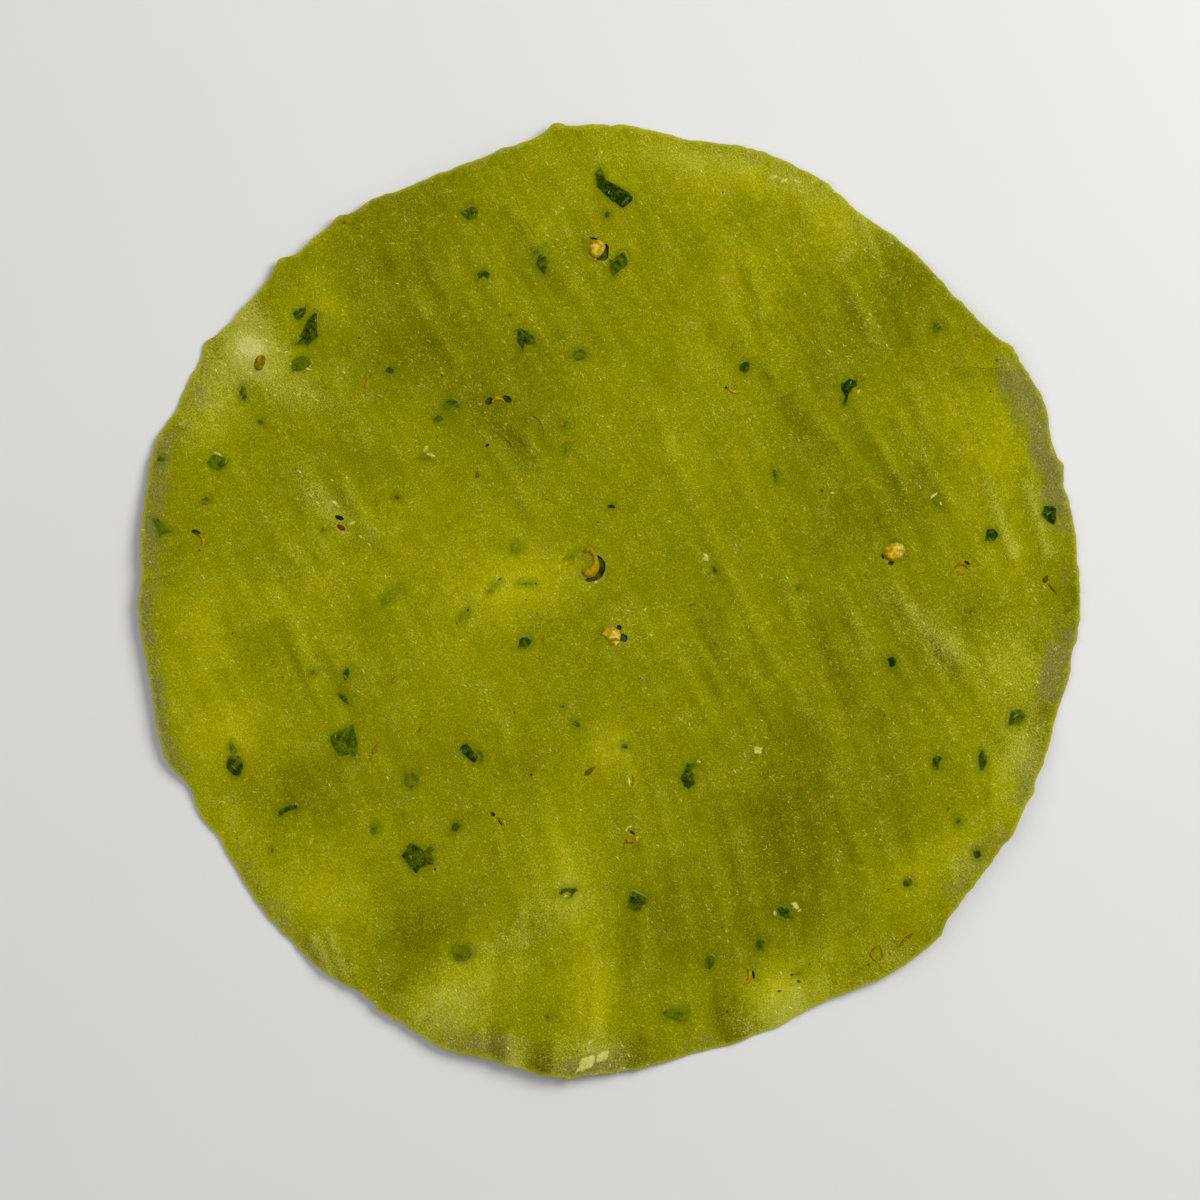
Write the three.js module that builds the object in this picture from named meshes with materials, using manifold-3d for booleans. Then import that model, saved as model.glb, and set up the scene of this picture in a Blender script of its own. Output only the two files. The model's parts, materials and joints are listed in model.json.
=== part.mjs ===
// A raw green-chilli papadum: one thin, hand-rolled, dried disc of dough, with chopped
// chilli, chilli seeds and cumin rolled into its upper face.
// Millimetres, +Z up. The origin is on the table, under the middle of the disc.
import * as THREE from 'three';
import { mergeVertices } from 'three/addons/utils/BufferGeometryUtils.js';
import Module from 'manifold-3d';

// Dough sheet
const MEAN_RADIUS = 82;
const THICKNESS = 0.55;
const FACET = 3.3; // distance between neighbouring corners of the sheet's facets
const RIM_FOLLOW = 6; // how quickly the inner rings forget the rim's corners and turn round

// Corners of the hand-rolled rim, counter-clockwise from +X: direction in degrees, then
// distance outside the mean radius. Between two corners the rim runs straight on.
const RIM_CORNERS = [
  [0, 0.5], [5, 0.3], [9.6, 0.6], [14.7, 0.2], [16.3, 0.7], [18.1, 0], [21.5, 0.7], [23.7, 1.8],
  [25.5, 1.9], [32.6, 0.7], [36, -0.9], [41.7, -1.6], [50, -1], [57.4, -1.3], [62.2, 0.4],
  [68.9, 1], [72.5, 1], [78.6, 0], [81.5, -0.2], [83.8, 0.8], [91.6, 1.5], [93.8, 1.2],
  [96.5, 1.9], [96.9, 0.8], [101.5, -1], [103.8, -0.8], [105.5, -1.8], [117.7, -1.6], [120, -0.3],
  [124.2, -0.9], [124.8, -0.3], [129.6, -0.1], [132.2, -0.6], [133.9, 0.7], [137.4, -0.4],
  [143, 0.2], [147.7, 1.6], [148.2, 0.9], [151.5, 1.4], [156.5, 0.7], [160, 2.3], [167.7, 1.2],
  [174.5, 0.4], [177.5, -0.6], [178.8, 0.2], [181.5, 0.5], [186.3, -0.2], [192.2, -0.4],
  [196.7, 0.5], [201.4, 0.1], [203.7, -1.8], [207.7, -0.9], [211.4, -1.9], [223.3, -0.4],
  [231.5, 0], [238.5, -1.1], [240.1, -0.1], [245.5, 0.8], [249.7, 1.9], [255.1, 0.8],
  [260.8, 1.6], [265.4, 1.8], [266.4, 1.1], [274.1, 0.2], [280.6, -1.4], [285.8, -1.2],
  [298.5, -2.5], [301.1, -1.8], [308.1, 0], [313.9, 0.4], [317.4, -1], [325, -1.2], [330.2, -0.6],
  [335.9, -1.2], [339.9, -0.7], [346.8, -1.4], [348.8, -0.2], [353.9, -0.4], [355.4, 0.4],
];

// Waves of the dried sheet, measured on its underside, above the table
const FLAT_RADIUS = 7; // the middle lies flat on the table
const FLAT_RUNOUT = 18; // width of the ring where the flat middle rises to the waves
const MIDDLE_GAP = 0.35; // mean height of the rest of the middle
const RIM_LIFT = 0.65; // further mean rise of the rim
const RIM_WAVES = [ // waves that run round the disc and grow towards the rim
  { count: 5, height: 1.05, start: 20 },
  { count: 11, height: 0.4, start: 30 },
  { count: 2, height: 0.4, start: 75 },
];
const SWELLS = [ // broad swells that cross the whole disc
  { pitch: 66, height: 0.22, direction: 72, shift: 12 },
  { pitch: 48, height: 0.14, direction: 151, shift: 5 },
];
const RIPPLES = [ // drying ripples, three trains that meet in short uneven streaks
  { pitch: 12.5, height: 0.07, direction: 27, shift: 2 },
  { pitch: 9.7, height: 0.05, direction: 38, shift: 4 },
  { pitch: 17.5, height: 0.09, direction: 17, shift: 1 },
];
const RIPPLE_LEAST = 0.4; // the ripples fade to this share towards -X
const TABLE_BLEND = 0.12; // rounds the bend where the sheet meets the table

// Chopped green chilli, largest first: x, y, length, width, turn in degrees
const FLAKES = [
  [0.6, 72.2, 6.6, 3, -40], [-33.7, -45.2, 5.9, 4.3, 10], [-52.6, 47.5, 5.6, 2.9, 55],
  [-46.6, -24.2, 5.2, 4.4, 60], [-65.5, -28.4, 4.9, 3.1, 90], [11.8, -72.4, 4.9, 2.4, 5],
  [41.9, 36.7, 4.4, 2.4, 60], [13.7, -30.4, 4.2, 3.1, 60], [31.2, -54, 3.8, 2.4, 10],
  [-25.6, -61.7, 3.8, 3, -10], [-14.8, 45.8, 3.6, 3.2, -30], [4.6, -52.2, 3.6, 3.3, 45],
  [-24.1, -26.7, 3.6, 3, -20], [-56.3, -36.8, 3.6, 1.8, 30], [-78, 12.5, 3.5, 3, 50],
  [-54, 41.4, 3.5, 2.4, -10], [65.2, -27.9, 3.5, 1.8, 80], [17.6, 7.4, 3.5, 1.8, -60],
  [-68.7, 24.6, 3.2, 2.8, 0], [1.5, 58.9, 3.1, 2.6, 50], [-7.4, -51, 3.1, 1.7, 10],
  [-34.6, -31.4, 3.1, 2.7, 70], [71.1, -20.4, 2.8, 2.3, 20], [-11.8, 58.9, 2.8, 1.7, 80],
  [-15, -7.4, 2.7, 2.2, 20], [66.8, 11.5, 2.6, 2.1, 15], [76.9, 15.1, 2.6, 2.3, 60],
  [-46.5, -17.1, 2.6, 1, -45], [-24.4, 67.8, 2.5, 2.1, -30], [57.3, -28.4, 2.5, 1.6, 70],
  [-64.1, 36.3, 2.5, 1.4, 90], [-53.6, 50.4, 2.4, 2.2, 30], [-5.2, 43, 2.4, 2.1, 0],
  [17.6, -63.3, 2.4, 1.5, 70], [23.7, 40.9, 2.1, 1.6, 80], [-27.7, 34.2, 2.1, 1.8, 15],
  [-22.1, 57, 1.9, 1.6, 0], [64.1, -44.2, 1.9, 1.6, 50], [49.4, -10.8, 1.6, 1.4, 0],
  [52.1, -49.3, 1.6, 1.4, 30],
];
const FLAKE_BOTTOM = 0.3; // heights above the sheet's underside
const FLAKE_TOP = 0.75;
const FLAKE_LEAST_CORNERS = 5;
const FLAKE_LEAST_REACH = 0.7; // a corner's least reach, as a share of the full half-size

// Chilli seeds, then cumin seeds: x, y, length, width, turn in degrees
const CHILLI_SEEDS = [
  [-3.6, 6.6, 5.2, 3.4, 80], [0.1, -6.2, 3.7, 3.3, 20], [49.8, 8.5, 3.7, 3.1, 15],
  [-2.5, 61.7, 3.5, 3.2, 0], [61.5, 5.9, 3.2, 2.6, 0], [-19.5, 35.1, 3.2, 2.6, 10],
  [24.2, -65.5, 3.1, 1.6, -70], [-71.8, 10.2, 3, 2.6, 60], [-61.2, 41.9, 2.8, 2.1, 70],
  [3.8, -41, 2.8, 1.8, 75], [-19.7, -38.4, 2.6, 2.2, 0], [47, -61.7, 2.6, 1.6, 60],
];
const CUMIN_SEEDS = [
  [-40.9, -25.8, 2.8, 1.1, 70], [52.4, -59.4, 2.6, 1.2, 40], [-3.4, -29.8, 2.4, 0.9, 45],
  [76.4, 3.6, 2.4, 1.1, -60], [-37.4, -13.7, 2.2, 0.9, 50], [3.8, -31.4, 2.1, 1, 90],
];
const CHILLI_SEED_BODY = { depth: 0.8, sides: 8, bands: 4 };
const CUMIN_BODY = { depth: 0.7, sides: 6, bands: 4 };

const FULL_TURN = 2 * Math.PI;
const radians = THREE.MathUtils.degToRad;

// A number from 0 to 1 that looks drawn at random and is always the same for one index
function uneven(index) {
  const wide = Math.sin(index * 12.9898) * 43758.5453;
  return wide - Math.floor(wide);
}

// A straight wave train across the sheet
function train({ pitch, height, direction, shift }, x, y) {
  const along = x * Math.cos(radians(direction)) + y * Math.sin(radians(direction));
  return height * Math.sin((FULL_TURN * (along - shift)) / pitch);
}

// The free height of a wave, or the table where the wave would dip below it
function settle(height) {
  if (height <= -TABLE_BLEND) return 0;
  if (height >= TABLE_BLEND) return height;
  return (height + TABLE_BLEND) ** 2 / (4 * TABLE_BLEND);
}

// Height of the sheet's underside above the table
function undersideHeight(x, y) {
  const radius = Math.hypot(x, y);
  const angle = Math.atan2(y, x);
  const share = radius / MEAN_RADIUS;
  let height = MIDDLE_GAP + RIM_LIFT * share ** 4;
  for (const wave of RIM_WAVES) {
    height += wave.height * share ** 3 * Math.sin(wave.count * (angle - radians(wave.start)));
  }
  for (const swell of SWELLS) {
    height += train(swell, x, y);
  }
  const rightward = THREE.MathUtils.smoothstep(x, -0.5 * MEAN_RADIUS, 0.5 * MEAN_RADIUS);
  for (const ripple of RIPPLES) {
    height += train(ripple, x, y) * THREE.MathUtils.lerp(RIPPLE_LEAST, 1, rightward);
  }
  const rise = THREE.MathUtils.smoothstep(radius, FLAT_RADIUS, FLAT_RADIUS + FLAT_RUNOUT);
  return settle(height * rise - TABLE_BLEND * (1 - rise));
}

// Lifts each point of a piece made on a flat table to where the wavy sheet carries it
function drape(geometry) {
  const position = geometry.getAttribute('position');
  for (let i = 0; i < position.count; i += 1) {
    const lift = undersideHeight(position.getX(i), position.getY(i));
    position.setZ(i, position.getZ(i) + lift);
  }
  return geometry;
}

// How far the rim stands outside the mean radius in one direction
function rimOffset(angle) {
  const degrees = THREE.MathUtils.euclideanModulo(THREE.MathUtils.radToDeg(angle), 360);
  const next = RIM_CORNERS.findIndex(([corner]) => corner > degrees);
  const [toDegrees, toOffset] = next < 0 ? [360, RIM_CORNERS[0][1]] : RIM_CORNERS[next];
  const [fromDegrees, fromOffset] = RIM_CORNERS.at(next < 0 ? -1 : next - 1);
  return THREE.MathUtils.mapLinear(degrees, fromDegrees, toDegrees, fromOffset, toOffset);
}

// Directions of the rim's points: every corner, and as many between two as the facets need
function rimAngles() {
  return RIM_CORNERS.flatMap(([degrees], i) => {
    const nextDegrees = i + 1 < RIM_CORNERS.length ? RIM_CORNERS[i + 1][0] : 360;
    const gap = radians(nextDegrees - degrees);
    const steps = Math.max(1, Math.round((gap * MEAN_RADIUS) / FACET));
    return Array.from({ length: steps }, (_, step) => radians(degrees) + (gap * step) / steps);
  });
}

// Rings of points from the centre to the rim, with about one facet between neighbours
function sheetRings() {
  const last = Math.round(MEAN_RADIUS / FACET);
  const rings = [];
  for (let n = 0; n <= last; n += 1) {
    const count = Math.max(1, 6 * n);
    const evenAngles = Array.from({ length: count }, (_, k) => (FULL_TURN * k) / count);
    const angles = n === last ? rimAngles() : evenAngles;
    const share = n / last;
    rings.push(angles.map((angle) => {
      const radius = share * (MEAN_RADIUS + share ** RIM_FOLLOW * rimOffset(angle));
      return { angle, x: radius * Math.cos(angle), y: radius * Math.sin(angle) };
    }));
  }
  return rings;
}

// Triangles that fill the band between two rings, counter-clockwise seen from above
function stitch(inner, outer) {
  const at = (ring, k) => ring[k % ring.length];
  const angleAt = (ring, k) => at(ring, k).angle + FULL_TURN * Math.floor(k / ring.length);
  const innerSteps = inner.length > 1 ? inner.length : 0;
  const triangles = [];
  let i = 0;
  let o = 0;
  while (i < innerSteps || o < outer.length) {
    const outerLeads = angleAt(outer, o + 1) + angleAt(outer, o) <= angleAt(inner, i + 1) + angleAt(inner, i);
    const stepOuter = o < outer.length && (i >= innerSteps || outerLeads);
    const third = stepOuter ? at(outer, o + 1) : at(inner, i + 1);
    triangles.push([at(inner, i), at(outer, o), third]);
    if (stepOuter) o += 1;
    else i += 1;
  }
  return triangles;
}

// The closed sheet: two faces split into triangles alike, and the narrow wall round the rim
function sheetGeometry() {
  const rings = sheetRings();
  const points = rings.flat();
  points.forEach((point, i) => {
    point.index = i;
  });
  const top = points.length;
  const triangles = [];
  for (let n = 1; n < rings.length; n += 1) {
    for (const [a, b, c] of stitch(rings[n - 1], rings[n])) {
      triangles.push(a.index, c.index, b.index);
      triangles.push(top + a.index, top + b.index, top + c.index);
    }
  }
  const rim = rings.at(-1);
  rim.forEach(({ index: here }, k) => {
    const next = rim[(k + 1) % rim.length].index;
    triangles.push(here, next, top + next);
    triangles.push(here, top + next, top + here);
  });
  const face = (z) => points.flatMap(({ x, y }) => [x, y, z]);
  const position = new THREE.Float32BufferAttribute([...face(0), ...face(THICKNESS)], 3);
  return new THREE.BufferGeometry().setAttribute('position', position).setIndex(triangles);
}

// A chopped flake of chilli: a small slab with an uneven outline, set into the upper face
function flakeGeometry([x, y, length, width, turn], index) {
  const corners = FLAKE_LEAST_CORNERS + (index % 3);
  const outline = Array.from({ length: corners }, (_, k) => {
    const angle = (FULL_TURN * (k + 0.5 * uneven(7 * index + k))) / corners;
    const reach = THREE.MathUtils.lerp(FLAKE_LEAST_REACH, 1, uneven(11 * index + 3 * k + 1));
    return new THREE.Vector2(0.5 * length * reach * Math.cos(angle), 0.5 * width * reach * Math.sin(angle));
  });
  const slab = { depth: FLAKE_TOP - FLAKE_BOTTOM, bevelEnabled: false };
  const geometry = new THREE.ExtrudeGeometry(new THREE.Shape(outline), slab);
  return geometry.rotateZ(radians(turn)).translate(x, y, FLAKE_BOTTOM);
}

// A seed: a flattened round body, half sunk in the upper face
function seedGeometry([x, y, length, width, turn], { depth, sides, bands }) {
  const geometry = new THREE.SphereGeometry(0.5, sides, bands).rotateX(Math.PI / 2);
  return geometry.scale(length, width, depth).rotateZ(radians(turn)).translate(x, y, THICKNESS);
}

const wasm = await Module();
wasm.setup();

function toSolid(geometry) {
  geometry.deleteAttribute('normal');
  geometry.deleteAttribute('uv');
  const merged = mergeVertices(geometry);
  return new wasm.Manifold(new wasm.Mesh({
    numProp: 3,
    vertProperties: new Float32Array(merged.getAttribute('position').array),
    triVerts: new Uint32Array(merged.index.array),
  }));
}

function toGeometry(solid) {
  const { vertProperties, triVerts } = solid.getMesh();
  const geometry = new THREE.BufferGeometry();
  geometry.setAttribute('position', new THREE.BufferAttribute(vertProperties, 3));
  geometry.setIndex(new THREE.BufferAttribute(triVerts, 1));
  geometry.computeVertexNormals();
  return geometry;
}

// The sheet with everything rolled into it, as one solid
function papadumGeometry() {
  const bits = [
    ...FLAKES.map(flakeGeometry),
    ...CHILLI_SEEDS.map((seed) => seedGeometry(seed, CHILLI_SEED_BODY)),
    ...CUMIN_SEEDS.map((seed) => seedGeometry(seed, CUMIN_BODY)),
  ];
  const sheet = toSolid(drape(sheetGeometry()));
  const whole = bits.reduce((sum, bit) => sum.add(toSolid(drape(bit))), sheet);
  return toGeometry(whole);
}

const dough = new THREE.MeshStandardMaterial({ color: 0x8a880a, roughness: 0.6, metalness: 0 });
const papadum = new THREE.Mesh(papadumGeometry(), dough);
papadum.name = 'papadum';
const box = new THREE.Box3().setFromObject(papadum);
const middle = box.getCenter(new THREE.Vector3());
papadum.position.set(-middle.x, -middle.y, -box.min.z);

const group = new THREE.Group();
group.add(papadum);

export default group;
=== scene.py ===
"""A raw green chilli papadum: a thin, wavy, hand-rolled disc of dried dough, with chopped
chilli, chilli seeds, cumin and pepper rolled into it. It lies flat on a pale table.

The tables of places and sizes are in millimetres, and the finished meshes in metres.
"""

import json
import math
import random

import bpy
import numpy as np
from bpy.props import FloatProperty, FloatVectorProperty, IntProperty, PointerProperty
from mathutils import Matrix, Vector, noise
from mathutils.bvhtree import BVHTree

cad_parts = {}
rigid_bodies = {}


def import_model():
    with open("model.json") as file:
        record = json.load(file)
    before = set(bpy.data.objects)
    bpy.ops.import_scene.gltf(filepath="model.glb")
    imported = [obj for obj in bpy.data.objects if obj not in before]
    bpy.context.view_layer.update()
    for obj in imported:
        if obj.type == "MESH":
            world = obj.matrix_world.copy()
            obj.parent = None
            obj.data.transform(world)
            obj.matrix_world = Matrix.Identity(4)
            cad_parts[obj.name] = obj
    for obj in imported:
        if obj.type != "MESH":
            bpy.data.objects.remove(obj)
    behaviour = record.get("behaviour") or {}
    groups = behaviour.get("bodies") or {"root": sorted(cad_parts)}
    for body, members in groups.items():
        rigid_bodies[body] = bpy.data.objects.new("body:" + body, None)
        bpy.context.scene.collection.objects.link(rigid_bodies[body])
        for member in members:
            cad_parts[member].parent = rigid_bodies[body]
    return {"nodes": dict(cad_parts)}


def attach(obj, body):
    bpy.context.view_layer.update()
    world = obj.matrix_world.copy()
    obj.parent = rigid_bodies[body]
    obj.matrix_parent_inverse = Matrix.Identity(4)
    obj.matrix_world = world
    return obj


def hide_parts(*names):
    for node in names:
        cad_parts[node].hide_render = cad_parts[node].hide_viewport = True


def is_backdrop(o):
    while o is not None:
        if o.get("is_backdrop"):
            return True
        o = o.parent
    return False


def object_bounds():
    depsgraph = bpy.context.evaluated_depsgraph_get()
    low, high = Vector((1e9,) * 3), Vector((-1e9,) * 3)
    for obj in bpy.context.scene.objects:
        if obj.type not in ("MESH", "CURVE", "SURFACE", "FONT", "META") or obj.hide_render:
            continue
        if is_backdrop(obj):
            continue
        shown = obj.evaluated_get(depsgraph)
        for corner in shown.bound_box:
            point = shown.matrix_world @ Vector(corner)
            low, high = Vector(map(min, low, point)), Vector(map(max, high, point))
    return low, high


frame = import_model()
CAD_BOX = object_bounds()

bl_info = {
    "name": "Green chilli papadum",
    "version": (1, 0, 0),
    "blender": (4, 5, 0),
    "location": "View3D > Sidebar > Papadum",
    "description": "Models a raw, hand-rolled green chilli papadum on its packed frame",
    "category": "Add Mesh",
}

MM = 0.001
BODY = "root"
NODE = "papadum"
SHEET = "papadum_sheet"

# Soft oval places of the sheet: x, y, length, width, turn in degrees, strength.
# Above zero the sheet is thin and bright, and below zero it is thick and dark.
THIN_PLACES = [
    (-16, 3, 18, 11, 10, 0.5), (-32, 3, 36, 14, 5, 0.14), (-32, 14, 34, 14, 0, 0.14),
    (20, 76, 36, 9, -15, 0.45), (40, 66, 14, 8, -45, 0.4), (30, -69, 16, 11, 30, 0.65),
    (-25, -67, 22, 13, 20, 0.5), (-3, -71, 7, 18, 0, 0.5), (72, -13, 12, 18, 10, 0.22),
    (70, -32, 9, 18, -10, 0.22), (57, -46, 20, 9, 35, 0.35), (-50, -52, 28, 14, -40, 0.4),
    (-71, -6, 14, 24, 0, 0.34), (-66, -23, 18, 12, 0, 0.45), (-70, 32, 10, 14, 30, 0.3),
    (-66, -40, 9, 12, 0, 0.22), (-7, -50, 11, 26, 10, 0.42), (0, -26, 9, 9, 0, 0.35),
    (65, 26, 18, 28, 0, 0.24), (10, 34, 26, 40, 0, 0.07), (24, 55, 12, 24, 20, 0.1),
    (-5, 71, 34, 12, 0, 0.1), (-58, 42, 16, 14, 0, 0.25), (-24, -11, 24, 16, 0, 0.15),
    (70, 7, 8, 8, 0, 0.2), (-42, -43, 14, 10, 0, 0.2), (-52, 54, 8, 10, 0, 0.15),
    (38, -55, 8, 14, 0, 0.15), (-60, 0, 14, 8, 0, 0.15), (-10, -34, 20, 10, 0, 0.12),
    (-71, -31, 8, 14, 0, 0.18), (-52, -3, 10, 26, 0, 0.12), (-37, -18, 8, 10, 0, 0.1),
    (15, 66, 10, 10, 0, 0.1), (-35, 50, 8, 14, 0, 0.14), (-48.5, 51.5, 6, 4, -30, 0.25),
]
THICK_PLACES = [
    (-38, 57, 18, 22, 40, -0.28), (-34, 44, 18, 14, 0, -0.32), (-17, 31, 18, 12, -30, -0.3),
    (52, 57, 16, 20, 0, -0.31), (44, 14, 18, 14, 0, -0.25), (34, 30, 22, 9, -60, -0.24),
    (31, -44, 22, 34, 10, -0.4), (34, -24, 12, 18, -20, -0.12), (41, -13, 30, 6, -60, -0.26),
    (20, -10, 28, 6, -60, -0.2), (-55, -34, 16, 12, 20, -0.22), (-34, -60, 18, 17, -10, -0.38),
    (-12.3, -81, 4, 7, 0, -0.6), (22.5, -74, 7, 15, 20, -0.5), (-14, -31, 6, 14, 0, -0.22),
    (-32, 69, 14, 10, 20, -0.25), (10, -57, 16, 18, 0, -0.24), (64, -2, 10, 12, 0, -0.2),
    (40, 45, 16, 16, 0, -0.25), (-4, 50, 16, 18, 0, -0.12), (54, 21, 10, 16, -60, -0.25),
    (-14, 43, 12, 10, 0, -0.15), (-25, 35, 10, 10, 0, -0.15), (46, 0, 12, 16, 0, -0.12),
    (48, -30, 14, 14, 0, -0.12), (-9, 57, 10, 10, 0, -0.12), (-23, 47, 8, 14, 0, -0.14),
    (46, -36, 12, 14, 0, -0.12), (6, 69, 8, 8, 0, -0.12), (53, -11, 14, 12, -40, -0.19),
    (56, 20, 8, 18, 30, -0.12), (-40, 23, 8, 8, 0, -0.1), (-20, -78, 4, 7, 0, -0.5),
    (4, -80.5, 8, 6, 0, -0.45), (75.6, -21, 5, 12, -12, -0.4), (-38, -68, 6, 6, 0, -0.25),
    (80.5, 1, 5, 14, 0, -0.3), (-75, 3, 7, 10, 0, -0.12),
]
# Floury, pale places: x, y, length, width, turn, strength
FLOUR_PLACES = [
    (-66, 42, 16, 10, 50, 0.5), (-56, 38, 19, 9, -24, 0.4), (-72, 35, 11, 15, 35, 0.28),
    (-50, 17.4, 17, 5, -44, 0.5), (-57, 6, 10, 10, 0, 0.2), (18, 77.5, 28, 8, -10, 0.4),
    (35, 73, 12, 7, -25, 0.4), (42, 66, 7, 9, 0, 0.3), (49, 65, 8, 5, -40, 0.3),
    (71.5, -12, 12, 22, 5, 0.34), (72, -27.5, 8, 12, -10, 0.5), (-28, -72, 18, 12, 30, 0.5),
    (-15, -58, 22, 8, 40, 0.3), (-7, -50, 8, 15, 0, 0.28), (-2, -79.5, 13, 8, 0, 0.6),
    (-16.2, -80, 3.5, 7, 0, 0.65), (31, -72, 17, 8, 28, 0.72), (-50.5, -60, 16, 8, -40, 0.14),
    (-66.5, -38.5, 14, 6, -60, 0.12), (-58.5, -52, 16, 7, -50, 0.15), (54.5, -5, 16, 6.5, -42, 0.26),
    (50, -62, 7, 6, 0, 0.4), (62, -47, 8, 7, 0, 0.4), (59.5, -9.5, 9, 5, -45, 0.22),
    (1, -6, 7, 6, 0, 0.2), (-62.9, 44.6, 5.2, 3.6, -15, 0.95), (41.4, 60.4, 3, 3, 0, 0.5),
]
FLOUR_SMEARS = [(-63.6, 47.2, 16, 10.5, -64, 0.5)]  # with a sharper edge
SMEAR_EDGE = 2
# Long drying folds: from x, y to x, y, width, height, flour in them; that pale flour on a crest is partly a
# painted highlight
FOLDS = [
    (-17.2, 69, -11.1, 58.9, 2.3, 0.38, 0.14), (-33, 64, -29, 54, 2.3, 0.26, 0.1),
    (-34.4, 52.8, -26.3, 41.6, 2.3, 0.25, 0.08), (-48.6, 38.6, -41.5, 26.4, 2.3, 0.25, 0.08),
    (-46.6, 20.3, -38.5, 8.2, 2.3, 0.32, 0.1), (-20.2, 26.4, -13.1, 15.3, 2.3, 0.26, 0.06),
    (-19.4, 31.8, -14.4, 28.6, 1.8, 0.38, 0.05), (-14.4, 28.6, -11.9, 24, 1.8, 0.38, 0.05),
    (24.4, 58.9, 27.4, 49.8, 2.3, 0.32, 0.1), (42.6, 54.8, 46.7, 45.7, 2.3, 0.28, 0.14),
    (28, 42, 33, 33, 2.3, 0.26, 0.05), (32.5, 36.6, 35.5, 31.5, 1.8, 0.29, 0.12),
    (52.8, 38.6, 55.8, 29.5, 2.3, 0.21, 0.14), (50.7, 31.5, 59.9, 17.3, 2.3, 0.29, 0.12),
    (44, 32, 52, 20, 2.3, 0.21, 0.12), (69, 42.7, 73, 30.5, 2.3, 0.21, 0.12),
    (66, 21, 71, 8, 2.3, 0.28, 0.48), (73, 21, 77, 8, 2.3, 0.28, 0.5),
    (8.1, 32.5, 28.4, -10, 2.3, 0.16, 0.03), (30.5, 6.2, 32.5, -2, 2.3, 0.21, 0.08),
    (40.6, 2.1, 45.7, -11.1, 2.3, 0.34, 0.24), (50, 2, 60, -8, 3.4, 0.16, 0.22),
    (50.7, -10, 60.9, -24.3, 2.4, 0.16, 0.05), (60, -8, 69, -24, 2.6, 0.1, 0.05),
    (32.5, -14.1, 40.6, -28.3, 2.4, 0.29, 0.2), (8.1, -6, 21.3, -24.3, 2.3, 0.16, 0.03),
    (13, -4, 24, -22, 2.3, 0.14, 0.02), (67, -32.4, 68, -40.5, 2.3, 0.21, 0.12),
    (-19.2, -20.2, -16.2, -30.4, 2.3, 0.32, 0.1), (-19.2, -42.5, -14.2, -56.7, 2.3, 0.22, 0.08),
    (-2, -64.8, -3, -75, 2.3, 0.38, 0.14), (8.1, -32.4, 12.2, -44.6, 2.3, 0.2, 0.06),
    (20.3, -36.4, 26.4, -56.7, 2.3, 0.22, 0.06), (37.5, -50.6, 38.6, -62.8, 2.3, 0.29, 0.14),
    (1, -24, 5, -34, 2.4, 0.15, 0.12), (38, -30, 44, -44, 2.4, 0.2, 0.05),
    (-55.7, -4, -51.7, -16.2, 2.3, 0.32, 0.1), (-68.9, -6, -54.7, -2, 2.3, 0.32, 0.1),
    (-81.3, 3.6, -75.6, 4.9, 1.8, 0.25, 0.12), (61.5, 40.2, 68.9, 40.8, 1.8, 0.34, 0.12),
    (43.8, 67.3, 46.8, 60, 1.8, 0.34, 0.35), (-75.9, 31.1, -71.3, 29.1, 1.8, 0.25, 0.05),
    (-34, -73.6, -29.4, -69.4, 1.8, 0.25, 0.12), (-22.2, -75.4, -23, -81.6, 1.8, 0.36, 0.25),
    (-17.4, -76, -17.9, -82.6, 1.8, 0.42, 0.4), (-9.6, -76.6, -9.6, -83.4, 2.3, 0.3, 0.1),
    (20.4, -71, 23, -79, 2.4, 0.45, 0.05), (73.5, 26.4, 75.7, 19, 1.8, -0.16, 0),
    (-51.8, -59, -49, -65, 1.8, 0.4, 0.5), (-48.6, -59, -46, -66, 1.8, 0.42, 0.5),
    (-45.4, -61, -43.4, -67, 1.8, 0.3, 0.2),
]
FOLD_PAINTED_LIGHT = 0.09  # painted highlight: how much thinner, and so brighter, the dough is painted on a fold's crest; painted shade: how much thicker and darker beside it
FOLD_PAINTED_SHADE = (-0.55, -0.35)  # where that painted shade lies, in widths of the fold, on the side away from the key light
# Fine creases: from x, y to x, y, rise to the left of that line, thickness
CREASES = [
    (-16.6, 70.8, -15.2, 67.2, 0.1, 0.5), (-15.3, 67.3, -12.3, 62.5, 0.15, 0.6),
    (-16.3, 66.2, -14.6, 63.8, 0.3, 0.45), (-15.1, 32.9, -11.6, 28, 1.6, 0.6),
    (-21, 30, -16, 25.1, 0.9, 0.6), (59, 40.2, 63.1, 41, 0.2, 0.5), (62.9, 41, 68.9, 40.9, -0.3, 0.6),
    (-80.8, 3.7, -76.6, 4.5, -0.1, 0.6), (-33.8, -73.8, -30.1, -71.4, -0.4, 0.6),
    (-76, 30.5, -73.6, 29.7, 0.1, 0.5),
]
CREASE_HEIGHT = 0.2
# The drying streaks slant, and stand more upright towards the lower edge
STREAK_SLANT = 0.53
STREAK_BEND = 0.0042
BEND_BELOW = -10
STREAK_STRETCH = 6  # a streak's length for its width
# Where the streaks show: x, y, length, width, turn, strength
STREAKS_ALL_OVER = 0.55
STREAKY_PLACES = [
    (48, 12, 46, 90, 0, 0.62), (22, -14, 40, 40, 0, 0.4), (14, -56, 70, 34, 0, 0.52),
    (-16, 58, 50, 30, 0, 0.6), (-52, -4, 40, 70, 0, 0.6), (30, 50, 40, 30, 0, 0.5),
]
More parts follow.
